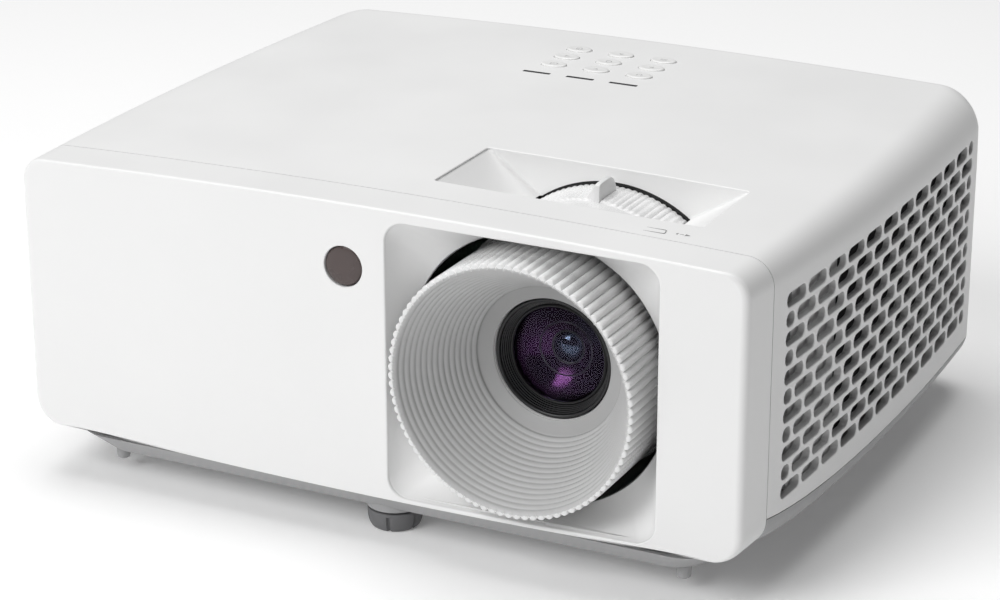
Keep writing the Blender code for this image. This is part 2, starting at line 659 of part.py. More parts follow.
def fan(name, side, cy, cz, half, x_in, x_out, blades=7):
    """Axial fan: square frame with a round duct and hub spider, and a bladed rotor."""
    frame = box(name, min(x_in, x_out), max(x_in, x_out), cy - half, cy + half, cz - half, cz + half)
    boolean(frame, cyl("duct", cy, cz, half - 2.0, min(x_in, x_out) - 1, max(x_in, x_out) + 1, "x", 28))
    lo = min(x_in, x_out)
    spider = [box("arm", lo, lo + 2.0, cy - half + 1, cy + half - 1, cz - 1.5, cz + 1.5)]
    boolean(frame, spider, "UNION")
    boolean(frame, cyl("plate", cy, cz, 10.0, lo, lo + 2.0, "x", 20), "UNION")
    place(tidy(frame), name + "_frame", black)
    rotor = cyl("rotor", cy, cz, 12.0, lo + 2.5, lo + 13.5, "x", 21)
    vanes = []
    for b in range(blades):
        a0 = 2 * math.pi * b / blades
        sw = 0.26
        ring0, ring1 = [], []
        for r, da in ((10.5, 0.0), (half - 3.2, 0.18)):
            for w, tw in ((lo + 3.0, -sw), (lo + 13.0, sw)):
                ring0.append((w, r, a0 + da + tw * 14 / r))
        q = [ring0[0], ring0[1], ring0[3], ring0[2]]
        vs = []
        for off in (0.0, 1.0):
            for w, r, a in q:
                aa = a + off * 1.3 / r
                vs.append((w, cy + r * math.cos(aa), cz + r * math.sin(aa)))
        f = [(0, 1, 2, 3), (7, 6, 5, 4), (0, 4, 5, 1), (1, 5, 6, 2), (2, 6, 7, 3), (3, 7, 4, 0)]
        vanes.append(new_object("vane", vs, f))
    boolean(rotor, vanes, "UNION")
    place(tidy(rotor, 0.1), name + "_rotor", black, (lo + 8.0, cy, cz))


fan("exhaust_fan", -1, 150.0, 0.0, 35.0, -122.0, -107.0)
fan("intake_fan", 1, 118.0, 0.0, 35.0, 107.0, 122.0)

# ---------------------------------------------------------------- electronics
psu = box("psu", -113, -9, 25.5, 68, -51.4, -49.8)
boolean(psu, [box("part", *b) for b in ((-110, -84, 28, 62, -50.5, -22), (-78, -58, 30, 64, -50.5, -14),
                                        (-52, -40, 30, 62, -50.5, -26), (-34, -12, 28, 60, -50.5, -20))], "UNION")
place(tidy(psu), "power_supply", pcb)
board = box("board", -76, 62, 172.5, 218.2, -28.6, -27.0)
boolean(board, [box("chip", *b) for b in ((-60, -36, 178, 200, -27.5, -23.5), (-24, -8, 180, 196, -27.5, -24.5),
                                          (4, 22, 178, 190, -27.5, -21.0))], "UNION")
place(tidy(board), "main_board", pcb)
spk = box("speaker", 90, 122, 162, 204, -34, 2)
boolean(spk, cyl("cone", 183, -16, 13, 115, 130, "x", 24, r2=15))
place(tidy(spk), "speaker", black)
kb = box("kb", -30, 34, 154, 203, 42.2, 43.8)
boolean(kb, [cyl("switch", x, y, 2.6, 43.0, 45.6, "z", 6) for x in KEY_X for y in KEY_Y], "UNION")
place(tidy(kb), "keypad_board", pcb)
irb = box("irb", IR_X - 9, IR_X + 9, 7.0, 8.6, IR_Z - 8, IR_Z + 8)
boolean(irb, cyl("receiver", IR_X, IR_Z, 3.2, 5.4, 7.4, "y", 14), "UNION")
place(tidy(irb), "ir_receiver_board", pcb)

# ---------------------------------------------------------------- keys and indicators
KEYS = {(0, 0): "key_source", (1, 0): "key_down", (2, 0): "key_resync",
        (0, 1): "key_left", (1, 1): "key_enter", (2, 1): "key_right",
        (0, 2): "key_power", (1, 2): "key_up", (2, 2): "key_menu"}
for (i, j), name in KEYS.items():
    x, y = KEY_X[i], KEY_Y[j]
    zt = TOP_Z - 1.5 * (x / 100) ** 2
    rings = []
    for rx, ry, z in ((7.3, 5.0, 46.3), (7.3, 5.0, 47.2), (KEY_RX, KEY_RY, 47.4), (KEY_RX, KEY_RY, zt + 0.15),
                      (KEY_RX - 0.5, KEY_RY - 0.5, zt + 0.6)):
        rings.append([(u, v, z) for u, v in oval(x, y, rx, ry)])
    place(loft(name, rings), name, white, (x, y, 46.3))
for x, name in zip(LED_X, ("led_power", "led_light_source", "led_temperature")):
    zt = TOP_Z - 1.5 * (x / 100) ** 2
    ob = box(name, x - 5.1, x + 5.1, 159.4, 160.0, 44.2, zt - 0.05)
    place(ob, name, led)

# ---------------------------------------------------------------- feet
x, y = FOOT
sc = turned("screw", [(3.0, -58.9), (3.0, -41.0), (2.4, -40.4), (0, -40.4), (0, -64.0), (1.9, -64.0), (1.9, -58.9)],
            x, y, "z", 14)
place(sc, "front_foot_screw", steel, (x, y, -59))
kn = turned("knob", [(2.3, -59.3), (9.3, -59.3), (9.2, -62.6), (8.6, -65.0), (7.6, -66.0), (0, -66.0), (0, -64.4),
                     (2.3, -64.4)], x, y, "z", 24)
slots = []
for i in range(6):
    a = math.radians(-90 + 13 + 60 * i)
    ca, sa = math.cos(a), math.sin(a)
    vs = []
    for z in (-67.5, -60.6):
        for u, w in ((8.3, -0.6), (10.5, -0.6), (10.5, 0.6), (8.3, 0.6)):
            vs.append((x + u * ca - w * sa, y + u * sa + w * ca, z))
    slots.append(new_object("slot", vs, [(3, 2, 1, 0), (4, 5, 6, 7), (0, 1, 5, 4), (1, 2, 6, 5), (2, 3, 7, 6),
                                         (3, 0, 4, 7)]))
boolean(kn, slots)
place(tidy(kn), "front_foot_knob", rubber, (x, y, -62))
for (x, y), name in zip(FEET[1:], ("rear_foot_left", "rear_foot_right")):
    ob = turned("foot", [(0, -66.0), (8.0, -66.0), (8.8, -65.2), (9.2, -59.3), (3.0, -59.3), (3.0, -46.0), (2.4, -45.0),
                         (0, -45.0)], x, y, "z", 18)
    place(ob, name, rubber, (x, y, -62))
for x, name in ((-105.6, "corner_peg_left"), (105.6, "corner_peg_right")):
    ob = turned("peg", [(0, -57.3), (2.4, -57.3), (2.2, -61.3), (1.6, -61.8), (0, -61.8)], x, 15.5, "z", 14)
    place(ob, name, rubber, (x, 15.5, -57.3))
for i, (x, y) in enumerate(SCREWS):
    ob = turned("screw", [(0, -56.8), (3.0, -56.8), (3.2, -55.8), (1.5, -55.6), (1.5, -44.0), (0, -44.0)], x, y, "z", 12)
    place(ob, "case_screw_%d" % (i + 1), steel, (x, y, -56))
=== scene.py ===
"""Looks of the home projector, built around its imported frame.

Lengths in the shape functions are design millimetres: x to the right, y to the rear from
the front face, z up from the lens axis. T() turns them into the frame's metres."""
import math

import bmesh
import bpy
import numpy as np
from mathutils import Matrix, Vector
from mathutils.geometry import delaunay_2d_cdt


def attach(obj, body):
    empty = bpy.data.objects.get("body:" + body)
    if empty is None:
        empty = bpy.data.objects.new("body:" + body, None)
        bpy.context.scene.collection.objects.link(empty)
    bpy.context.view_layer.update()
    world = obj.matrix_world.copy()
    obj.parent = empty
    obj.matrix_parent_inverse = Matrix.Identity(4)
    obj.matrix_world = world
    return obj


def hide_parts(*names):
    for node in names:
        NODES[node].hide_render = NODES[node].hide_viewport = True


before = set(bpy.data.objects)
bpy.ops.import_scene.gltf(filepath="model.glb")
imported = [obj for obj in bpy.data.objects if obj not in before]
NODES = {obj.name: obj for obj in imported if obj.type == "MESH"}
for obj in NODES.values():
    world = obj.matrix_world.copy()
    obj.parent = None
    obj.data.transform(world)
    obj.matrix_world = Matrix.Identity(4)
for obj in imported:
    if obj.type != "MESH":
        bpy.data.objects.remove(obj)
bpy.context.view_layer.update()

# ------------------------------------------------------------------ dimensions
DEPTH, REAR_R, REAR_RZ = 223.0, 15.0, 8.0
BEZEL_END, GAP, WALL, TOP_Z = 16.8, 0.3, 2.4, 51.0
LX = 54.6
RIM_R, OPEN_R, OPEN_Y, RECESS, HOOD = 42.5, 45.75, 14.1, 47.05, 7.3
IR_X, IR_Z, IR_R = -7.6, 29.5, 6.9
KEY_X, KEY_Y = (-15.2, 1.8, 18.9), (171.5, 182.6, 193.6)
KEY_RX, KEY_RY = 4.9, 3.4
LED_X = (-16.5, 0.8, 17.9)
FOOT = (0.0, 18.6)
TAU = 2 * math.pi


def T(p):
    return (p[0] * .001, (p[1] - 107.85) * .001, (p[2] + 66.0) * .001)


def half_width(y):
    return 130.594 + 0.0957 * y - 0.000359 * y * y


def drop(y, a, y0, k):
    return a * (1 - math.exp(-max(0.0, y - y0) / k))


def part_z(y):
    return -36.0 - drop(y, 7.2, 12, 35)


def side_bottom(y):
    return -46.8 - drop(y, 4.9, BEZEL_END, 22)


def end_inset(y, end, r):
    if r <= 0.05 or y <= end - r:
        return 0.0
    d = min(r, y - (end - r))
    return r - math.sqrt(max(0.0, r * r - d * d))


def crown(x):
    return TOP_Z - 1.5 * (x / 100) ** 2


# ------------------------------------------------------------------ materials
def nodes_of(name):
    m = bpy.data.materials.new(name)
    m.use_nodes = True
    nt = m.node_tree
    return m, nt, nt.nodes["Principled BSDF"]


def add(nt, kind, **kw):
    n = nt.nodes.new(kind)
    for k, v in kw.items():
        if k in n.inputs:
            n.inputs[k].default_value = v
        else:
            setattr(n, k, v)
    return n


def coords(nt, stretch=(1, 1, 1)):
    tc = add(nt, "ShaderNodeTexCoord")
    mp = add(nt, "ShaderNodeMapping")
    mp.inputs["Scale"].default_value = stretch
    nt.links.new(tc.outputs["Object"], mp.inputs["Vector"])
    return mp.outputs["Vector"]


def noise(nt, vec, scale, detail=3.0, rough=.55):
    n = add(nt, "ShaderNodeTexNoise")
    n.inputs["Scale"].default_value = scale
    n.inputs["Detail"].default_value = detail
    n.inputs["Roughness"].default_value = rough
    nt.links.new(vec, n.inputs["Vector"])
    return n.outputs["Fac"]


def ramp(nt, fac, stops):
    r = add(nt, "ShaderNodeValToRGB")
    e = r.color_ramp.elements
    while len(e) < len(stops):
        e.new(.5)
    for i, (p, c) in enumerate(stops):
        e[i].position = p
        e[i].color = (*c, 1) if len(c) == 3 else c
    nt.links.new(fac, r.inputs["Fac"])
    return r.outputs["Color"]


def maprange(nt, fac, a, b, c, d):
    r = add(nt, "ShaderNodeMapRange")
    for i, v in enumerate((a, b, c, d)):
        r.inputs[1 + i].default_value = v
    nt.links.new(fac, r.inputs[0])
    return r.outputs[0]


def bump(nt, height, dist, strength=1.0, normal=None):
    b = add(nt, "ShaderNodeBump")
    b.inputs["Strength"].default_value = strength
    b.inputs["Distance"].default_value = dist
    nt.links.new(height, b.inputs["Height"])
    if normal is not None:
        nt.links.new(normal, b.inputs["Normal"])
    return b.outputs["Normal"]


def plastic(name, col, rough=.45, var=.03, rvar=.06, grain=2600.0, depth=.00002, spec=.5, stretch=(1, 1, 1), broad=18.0):
    """Moulded plastic: spark-eroded grain, slow colour drift, uneven gloss."""
    m, nt, b = nodes_of(name)
    v = coords(nt, stretch)
    fine = noise(nt, v, grain, 2.0)
    slow = noise(nt, v, broad, 4.0)
    lo, hi = [max(0, c * (1 - var)) for c in col], [min(1, c * (1 + var * .6)) for c in col]
    nt.links.new(ramp(nt, slow, [(.3, lo), (.7, hi)]), b.inputs["Base Color"])
    mix = add(nt, "ShaderNodeMath", operation="ADD")
    nt.links.new(maprange(nt, slow, .3, .7, rough - rvar, rough + rvar * .5), mix.inputs[0])
    nt.links.new(maprange(nt, fine, .3, .7, -rvar * .5, rvar * .5), mix.inputs[1])
    nt.links.new(mix.outputs[0], b.inputs["Roughness"])
    nt.links.new(bump(nt, fine, depth, .6), b.inputs["Normal"])
    b.inputs["Specular IOR Level"].default_value = spec
    return m


def metal(name, col, rough=.32, brushed=True, stretch=(1, 40, 1), scale=900.0, depth=.00001):
    m, nt, b = nodes_of(name)
    v = coords(nt, stretch if brushed else (1, 1, 1))
    g = noise(nt, v, scale, 4.0)
    slow = noise(nt, coords(nt), 35.0, 3.0)
    nt.links.new(ramp(nt, g, [(.25, [c * .78 for c in col]), (.75, [min(1, c * 1.12) for c in col])]), b.inputs["Base Color"])
    nt.links.new(maprange(nt, slow, .3, .7, rough - .07, rough + .1), b.inputs["Roughness"])
    nt.links.new(bump(nt, g, depth, .5), b.inputs["Normal"])
    b.inputs["Metallic"].default_value = 1.0
    return m


def circuit(name):
    m, nt, b = nodes_of(name)
    v = coords(nt)
    br = add(nt, "ShaderNodeTexBrick")
    br.inputs["Scale"].default_value = 260.0
    br.inputs["Mortar Size"].default_value = .035
    br.inputs["Color1"].default_value = (.015, .13, .05, 1)
    br.inputs["Color2"].default_value = (.02, .18, .07, 1)
    br.inputs["Mortar"].default_value = (.05, .28, .10, 1)
    nt.links.new(v, br.inputs["Vector"])
    nt.links.new(br.outputs["Color"], b.inputs["Base Color"])
    vo = add(nt, "ShaderNodeTexVoronoi")
    vo.inputs["Scale"].default_value = 420.0
    nt.links.new(v, vo.inputs["Vector"])
    nt.links.new(maprange(nt, vo.outputs["Distance"], 0, .8, .3, .6), b.inputs["Roughness"])
    nt.links.new(bump(nt, vo.outputs["Distance"], .0001, .4), b.inputs["Normal"])
    return m


M_WHITE = plastic("casing_white", (.86, .86, .858), .46, .012, .05, 2200.0, .00002)
M_BEZEL = plastic("bezel_white", (.875, .875, .873), .40, .01, .05, 2400.0, .000012)
M_RING = plastic("ring_white", (.80, .80, .80), .30, .02, .06, 1900.0, .00001)
M_LEVER = plastic("lever_white", (.83, .83, .83), .42, .02, .06, 1900.0, .000015)
M_KEY = plastic("key_white", (.84, .84, .835), .38, .015, .06, 2300.0, .000012)
M_ICON = plastic("icon_grey", (.56, .56, .56), .55, .06, .05, 3000.0, .00001)
# Grey for the bottom cover and pegs, far darker than the casing white: partly the cover's own grey, partly painted
# shade under the body.
M_GREY_AND_SHADE = plastic("base_grey_and_painted_shade", (.40, .40, .405), .5, .05, .07, 1800.0, .00003)
M_PANEL = plastic("panel_grey", (.62, .62, .62), .5, .04, .07, 1800.0, .00003)
M_BLACK = plastic("black_satin", (.011, .011, .012), .36, .25, .08, 2400.0, .00001, .42)
M_EDGE = plastic("element_edge", (.020, .026, .022), .4, .25, .09, 2400.0, .00001, .4)
M_DARK = plastic("dark_matt", (.035, .035, .036), .72, .2, .08, 1500.0, .00003)
M_BAFFLE = plastic("baffle_grey", (.76, .76, .76), .6, .06, .08, 900.0, .00006)
M_RUBBER = plastic("foot_grey", (.16, .16, .165), .62, .1, .08, 1600.0, .00004)
# Darker copies of the ring's white plastic: painted shade inside the hood, on the deep cone and on the face around the
# lens.
M_CONE_PAINTED_SHADE = plastic("hood_inner_painted_shade", (.56, .56, .56), .42, .03, .06, 1900.0, .00001)
M_FACE_PAINTED_SHADE = plastic("hood_face_painted_shade", (.42, .42, .42), .45, .03, .06, 1900.0, .00001)
# Darker copy of the casing's white plastic for the slot walls: painted shade inside the grille slots.
M_SLOT_PAINTED_SHADE = plastic("slot_wall_painted_shade", (.60, .60, .60), .55, .04, .06, 1900.0, .00002)
# Near-black sheet material: painted shade for the dark inside of the casing seen through the grille slots.
M_SHADE_SHEET = plastic("painted_shade_black", (.018, .018, .018), .8, .3, .08, 1500.0, .00003, .1)
M_ALU = metal("cast_aluminium", (.60, .61, .62), .42, False, scale=1400.0, depth=.00003)
M_STEEL = metal("plated_steel", (.55, .55, .56), .28, True, (40, 1, 1), 500.0)
M_PCB = circuit("circuit_board")


def light_pipe():
    m, nt, b = nodes_of("smoked_pipe")
    v = coords(nt)
    g = noise(nt, v, 700.0)
    nt.links.new(ramp(nt, g, [(.3, (.030, .030, .033)), (.7, (.045, .045, .048))]), b.inputs["Base Color"])
    nt.links.new(maprange(nt, g, .3, .7, .40, .52), b.inputs["Roughness"])
    return m


def ir_filter():
    m, nt, b = nodes_of("infrared_filter")
    v = coords(nt)
    g = noise(nt, v, 60.0)
    nt.links.new(ramp(nt, g, [(.3, (.048, .032, .030)), (.7, (.070, .048, .045))]), b.inputs["Base Color"])
    nt.links.new(maprange(nt, g, .3, .7, .22, .30), b.inputs["Roughness"])
    b.inputs["Coat Weight"].default_value = .25
    b.inputs["Coat Roughness"].default_value = .06
    return m


def phosphor():
    m, nt, b = nodes_of("phosphor_coat")
    v = coords(nt)
    g = noise(nt, v, 1800.0)
    nt.links.new(ramp(nt, g, [(.3, (.70, .56, .08)), (.7, (.82, .70, .16))]), b.inputs["Base Color"])
    nt.links.new(maprange(nt, g, .3, .7, .35, .6), b.inputs["Roughness"])
    nt.links.new(bump(nt, g, .00002, .5), b.inputs["Normal"])
    return m


def coated_glass(name, tint, ior=1.6):
    """Clear optical element with a coloured anti-reflection coating."""
    m, nt, b = nodes_of(name)
    v = coords(nt)
    g = noise(nt, v, 90.0, 2.0)
    nt.links.new(maprange(nt, g, .3, .7, .0, .012), b.inputs["Roughness"])
    nt.links.new(ramp(nt, g, [(.3, (.97, .96, .98)), (.7, (.99, .99, 1.0))]), b.inputs["Base Color"])
    b.inputs["Transmission Weight"].default_value = 1.0
    b.inputs["IOR"].default_value = ior
    b.inputs["Specular Tint"].default_value = (*tint, 1)
    return m


def dark_element(name, base, tint, ior=1.8, rough=.06):
    """Deep lens element seen against the black barrel, with its coating's reflection colour."""
    m, nt, b = nodes_of(name)
    v = coords(nt)
    g = noise(nt, v, 120.0, 2.0)
    nt.links.new(ramp(nt, g, [(.3, [c * .7 for c in base]), (.7, base)]), b.inputs["Base Color"])
    nt.links.new(maprange(nt, g, .3, .7, rough * .6, rough * 1.3), b.inputs["Roughness"])
    b.inputs["IOR"].default_value = ior
    b.inputs["Specular Tint"].default_value = (*tint, 1)
    return m


M_SIGN = plastic("sign_grey", (.30, .30, .30), .55, .06, .05, 3000.0, .00001)
M_LED, M_IR, M_PHOS = light_pipe(), ir_filter(), phosphor()
M_GLASS = coated_glass("front_element", (.7, .55, 1.0), 1.2)
M_DEEP = dark_element("deep_element", (.0025, .002, .003), (.66, .22, .80), 1.52, .19)
M_CORE = dark_element("core_element", (.003, .004, .006), (.5, .68, 1.0), 1.8, .14)


# ------------------------------------------------------------------ mesh helpers
def publish(name, verts, faces, mat, body, slot=None, replaces=(), sharp=35.0, normals=None, recalc=True):
    """Make an object from design-millimetre points, with outward faces, riding on a body."""
    me = bpy.data.meshes.new(name)
    me.from_pydata([T(v) for v in verts], [], faces)
    me.validate(clean_customdata=False)
    if recalc:
        bm = bmesh.new()
        bm.from_mesh(me)
        bmesh.ops.recalc_face_normals(bm, faces=bm.faces)
        bm.to_mesh(me)
        bm.free()
    me.shade_smooth()
    if sharp is not None:
        me.set_sharp_from_angle(angle=math.radians(sharp))
    if normals is not None:
        me.normals_split_custom_set(normals(me))
    ob = bpy.data.objects.new(name, me)
    bpy.context.scene.collection.objects.link(ob)
    me.materials.append(mat)
    return finish_piece(ob, body, replaces)


def finish_piece(ob, body, replaces=()):
    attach(ob, body)
    if replaces:
        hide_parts(*replaces)
    return ob


def lathe(name, profile, cu, cv, mat, body, axis="y", n=128, slot=None, replaces=(), sharp=30.0, radius=None, phase=0.0):
    """Closed body turned from a closed (radius, along) profile; radius(r, w, angle) may wave it."""
    def put(r, a, w):
        if radius is not None and r > 0:
            r = radius(r, w, a)
        u, v = cu + r * math.cos(a), cv + r * math.sin(a)
        return {"z": (u, v, w), "y": (u, w, v), "x": (w, u, v)}[axis]
    verts, idx = [], []
    for r, w in profile:
        if r == 0:
            idx.append([len(verts)] * n)
            verts.append(put(0, 0, w))
        else:
            idx.append(list(range(len(verts), len(verts) + n)))
            verts += [put(r, TAU * (i + phase) / n, w) for i in range(n)]
    faces = []
    for i in range(len(profile)):
        a, b = idx[i], idx[(i + 1) % len(profile)]
        for j in range(n):
            k = (j + 1) % n
            f = []
            for q in (a[j], a[k], b[k], b[j]):
                if q not in f:
                    f.append(q)
            if len(f) > 2:
                faces.append(tuple(f))
    return publish(name, verts, faces, mat, body, slot, replaces, sharp)


def loops(name, rings, mat, body, slot=None, replaces=(), sharp=35.0):
    """Closed body through equal rings with flat end caps."""
    n = len(rings[0])
    verts = [p for r in rings for p in r]
    faces = [tuple(range(n)), tuple((len(rings) - 1) * n + j for j in range(n))]
    for i in range(len(rings) - 1):
        for j in range(n):
            k = (j + 1) % n
            faces.append((i * n + j, i * n + k, (i + 1) * n + k, (i + 1) * n + j))
    return publish(name, verts, faces, mat, body, slot, replaces, sharp)


def rrect(cu, cv, a, b, r, n=4):
    """Rounded rectangle outline, counter-clockwise."""
    pts = []
    for q, (su, sv) in enumerate(((1, 1), (-1, 1), (-1, -1), (1, -1))):
        for i in range(n + 1):
            t = math.pi / 2 * (q + i / n)
            pts.append((cu + su * (a - r) + r * math.cos(t), cv + sv * (b - r) + r * math.sin(t)))
    return pts


def ellipse(cu, cv, a, b, n=40):
    return [(cu + a * math.cos(TAU * i / n), cv + b * math.sin(TAU * i / n)) for i in range(n)]


def bevel_block(name, u0, u1, v0, v1, w0, w1, mat, body, r=1.0, e=.3, axis="z", **kw):
    """Block with rounded corners and eased edges, along an axis."""
    cu, cv, a, b = (u0 + u1) / 2, (v0 + v1) / 2, (u1 - u0) / 2, (v1 - v0) / 2
    def put(u, v, w):
        return {"z": (u, v, w), "y": (u, w, v), "x": (w, u, v)}[axis]
    rings = []
    for i in range(4):
        t = math.pi / 2 * i / 3
        o = e * (1 - math.sin(t))
        rings.append([put(u, v, w0 + e * (1 - math.cos(t))) for u, v in rrect(cu, cv, a - o, b - o, max(.05, r - o))])
    for i in range(3, -1, -1):
        t = math.pi / 2 * i / 3
        o = e * (1 - math.sin(t))
        rings.append([put(u, v, w1 - e * (1 - math.cos(t))) for u, v in rrect(cu, cv, a - o, b - o, max(.05, r - o))])
    return loops(name, rings, mat, body, **kw)


def unit(v):
    v = np.asarray(v, float)
    return v / max(1e-12, np.linalg.norm(v))


def second_material(ob, mat, test):
    """Give the faces whose centre (design millimetres) passes the test another material."""
    me = ob.data
    me.materials.append(mat)
    for p in me.polygons:
        c = p.center
        if test(c.x * 1000, c.y * 1000 + 107.85, c.z * 1000 - 66.0):
            p.material_index = len(me.materials) - 1
    return ob


class Skin:
    """Outer surface with its own normals, a matching inner surface, and walls along every opening."""

    def __init__(s):
        s.p, s.n, s.q, s.f, s.at = [], [], [], [], {}
        s.x, s.xn = [], []          # ring vertices of openings
        s.xf = []                   # faces of openings: ("p"/"x"/"q", index)
        s.hole_edges = set()
        s.qn = {}

    def v(s, p, n, q):
        k = tuple(int(math.floor(c * 1000 + .37)) for c in p)
        i = s.at.get(k)
        if i is None:
            i = len(s.p)
            s.at[k] = i
            s.p.append(tuple(map(float, p)))
            s.n.append(tuple(unit(n)))
            s.q.append(tuple(map(float, q)))
        return i

    def face(s, ids):
        ids = [a for i, a in enumerate(ids) if a != ids[i - 1]]
        if len(set(ids)) > 2:
            s.f.append(tuple(ids))

    def grid(s, rows):
        """rows of vertex ids, all the same length."""
        for a, b in zip(rows, rows[1:]):
            for j in range(len(a) - 1):
                s.face((a[j], a[j + 1], b[j + 1], b[j]))

    def patch(s, S, thick, border, holes, grid, inner=None):
        """Triangulate a flat region of the parameters (u, v) with openings, and lay it on S(u, v)."""
        pts, hid, edges = [], [], []

        def loop(outline, h):
            i0 = len(pts)
            for k, p in enumerate(outline):
                pts.append(Vector(p))
                hid.append(h)
                edges.append((i0 + k, i0 + (k + 1) % len(outline)))
            return list(range(i0, i0 + len(outline)))
        loop(border, -1)
        hl = [loop(h["outline"](h["r"]), k) for k, h in enumerate(holes)]
        for p in grid:
            pts.append(Vector(p))
            hid.append(-2)
        vs, _, tris, ov, _, _ = delaunay_2d_cdt(pts, edges, [], 0, 1e-7, True)
        back = [o[0] for o in ov]
        ids = {}

        def vid(i):
            if i not in ids:
                P, N = S(*pts[i])
                h = hid[i]
                if h >= 0:
                    ids[i] = s.v(P, N, holes[h]["q"][hl[h].index(i)])
                else:
                    ids[i] = s.v(P, N, inner(P, N) if inner else P - N * thick)
            return ids[i]
        for h, idx in zip(holes, hl):
            s.prepare(h, S, thick)
        used = set()
        for t in tris:
            a = [back[i] for i in t]
            hs = {hid[i] for i in a}
            if len(hs) == 1 and min(hs) >= 0:
                continue
            s.face([vid(i) for i in a])
            used.update(a)
        for h, idx in zip(holes, hl):
            base = [vid(i) for i in idx]
            s.opening(h, base)

    def prepare(s, h, S, thick):
        """Ring positions and normals of one opening, from its rounded lip to the inner surface."""
        r, seg, depth = h["r"], h.get("seg", 3), h.get("depth", thick)
        o1 = [S(u, v) for u, v in h["outline"](r)]
        o0 = [S(u, v) for u, v in h["outline"](0.0)]
        W = [unit(np.array(b[0]) - np.array(a[0])) for a, b in zip(o1, o0)]
        rings = []
        for k in range(1, seg + 1):
            t = math.pi / 2 * k / seg
            ring = []
            for (u, v), w in zip(h["outline"](r * (1 - math.sin(t))), W):
                P, N = S(u, v)
                ring.append((P - N * r * (1 - math.cos(t)), math.cos(t) * N + math.sin(t) * w))
            rings.append(ring)
        extra = h.get("rings")
        if extra:
            n = len(extra[0])
            full = [[p for p, _ in rings[-1]]] + [[np.array(p, float) for p in e] for e in extra]
            for k in range(1, len(full)):
                ring = []
                for j in range(n):
                    a, b = full[k][(j + 1) % n], full[k][j - 1]
                    c = full[min(k + 1, len(full) - 1)][j] - full[k - 1][j]
                    nn = unit(np.cross(a - b, c))
                    if nn @ W[j] < -1e-6 and not h.get("free"):
                        nn = -nn
                    ring.append((full[k][j], nn if not (h.get("auto_from") and k > h["auto_from"]) else np.zeros(3)))
                rings.append(ring)
            h["q"] = [tuple(p) for p, _ in rings[-1]]
            h["wn"] = [n_ for _, n_ in rings[-1]]
            rings = rings[:-1]
        else:
            h["q"] = [tuple(np.array(P) - np.array(N) * depth) for P, N in o0]
            h["wn"] = W
        h["ringdata"] = rings

    def opening(s, h, base):
        n = len(base)
        prev = [("p", i) for i in base]
        for j in range(n):
            s.hole_edges.add(frozenset((base[j], base[(j + 1) % n])))
        for ring in h["ringdata"]:
            cur = []
            for P, N in ring:
                cur.append(("x", len(s.x)))
                s.x.append(tuple(P))
                s.xn.append(tuple(N))
            for j in range(n):
                k = (j + 1) % n
                s.xf.append((prev[j], prev[k], cur[k], cur[j]))
            prev = cur
        cur = [("q", i) for i in base]
        for i, w in zip(base, h["wn"]):
            s.qn[i] = tuple(w)
        for j in range(n):
            k = (j + 1) % n
            s.xf.append((prev[j], prev[k], cur[k], cur[j]))

    def build(s, name, mat, body, **kw):
        P, X = len(s.p), len(s.x)
        verts = s.p + s.q + s.x
        off = {"p": 0, "q": P, "x": 2 * P}
        faces, kind = [], []
        count = {}
        for f in s.f:
            a, b, c = (np.array(s.p[i]) for i in f[:3])
            nn = np.cross(b - a, c - a)
            av = sum(np.array(s.n[i]) for i in f)
            if nn @ av < 0:
                f = f[::-1]
            faces.append(f); kind.append(0)
            faces.append(tuple(P + i for i in f[::-1])); kind.append(2)
            for i in range(len(f)):
                e = (f[i], f[(i + 1) % len(f)])
                count[e] = count.get(e, 0) + 1
        for a, b in [e for e in count if (e[1], e[0]) not in count]:
            if frozenset((a, b)) in s.hole_edges:
                continue
            faces.append((b, a, P + a, P + b)); kind.append(2)
        for f in s.xf:
            faces.append(tuple(off[t] + i for t, i in f)); kind.append(1)
        qn = s.qn

        def normals(me):
            out = [(0.0, 0.0, 0.0)] * len(me.loops)
            for poly, k in zip(me.polygons, kind):
                if k == 2:
                    continue
                for li in poly.loop_indices:
                    v = me.loops[li].vertex_index
                    if v < P:
                        out[li] = s.n[v]
                    elif k == 1 and v < 2 * P:
                        out[li] = qn.get(v - P, (0, 0, 0))
                    elif v >= 2 * P:
                        out[li] = s.xn[v - 2 * P]
            return out
        return publish(name, verts, faces, mat, body, normals=normals, **kw)


def as_np(f):
    def g(u, v):
        P, N = f(u, v)
        return np.array(P, float), unit(N)
    return g


# ------------------------------------------------------------------ casing outline in rings
def rear_e(y):
    return end_inset(y, DEPTH, REAR_R), end_inset(y, DEPTH, REAR_RZ)


def corner_r(y, ex):
    return max(1.2, 8.5 + 7.0 * min(1.0, max(0.0, y) / 200) - .35 * ex)


def side_x(y, z):
    ex, ez = rear_e(y)
    hw, rt = half_width(y) - ex, corner_r(y, ex)
    zc = crown(hw - rt) - ez - rt
    return hw - (rt - math.sqrt(max(0.0, rt * rt - (z - zc) ** 2)) if z > zc else 0.0)


def z_split(y):
    return 36.0 - rear_e(y)[1]


def x_split(y):
    return 112.0 * (half_width(y) - rear_e(y)[0]) / half_width(y)


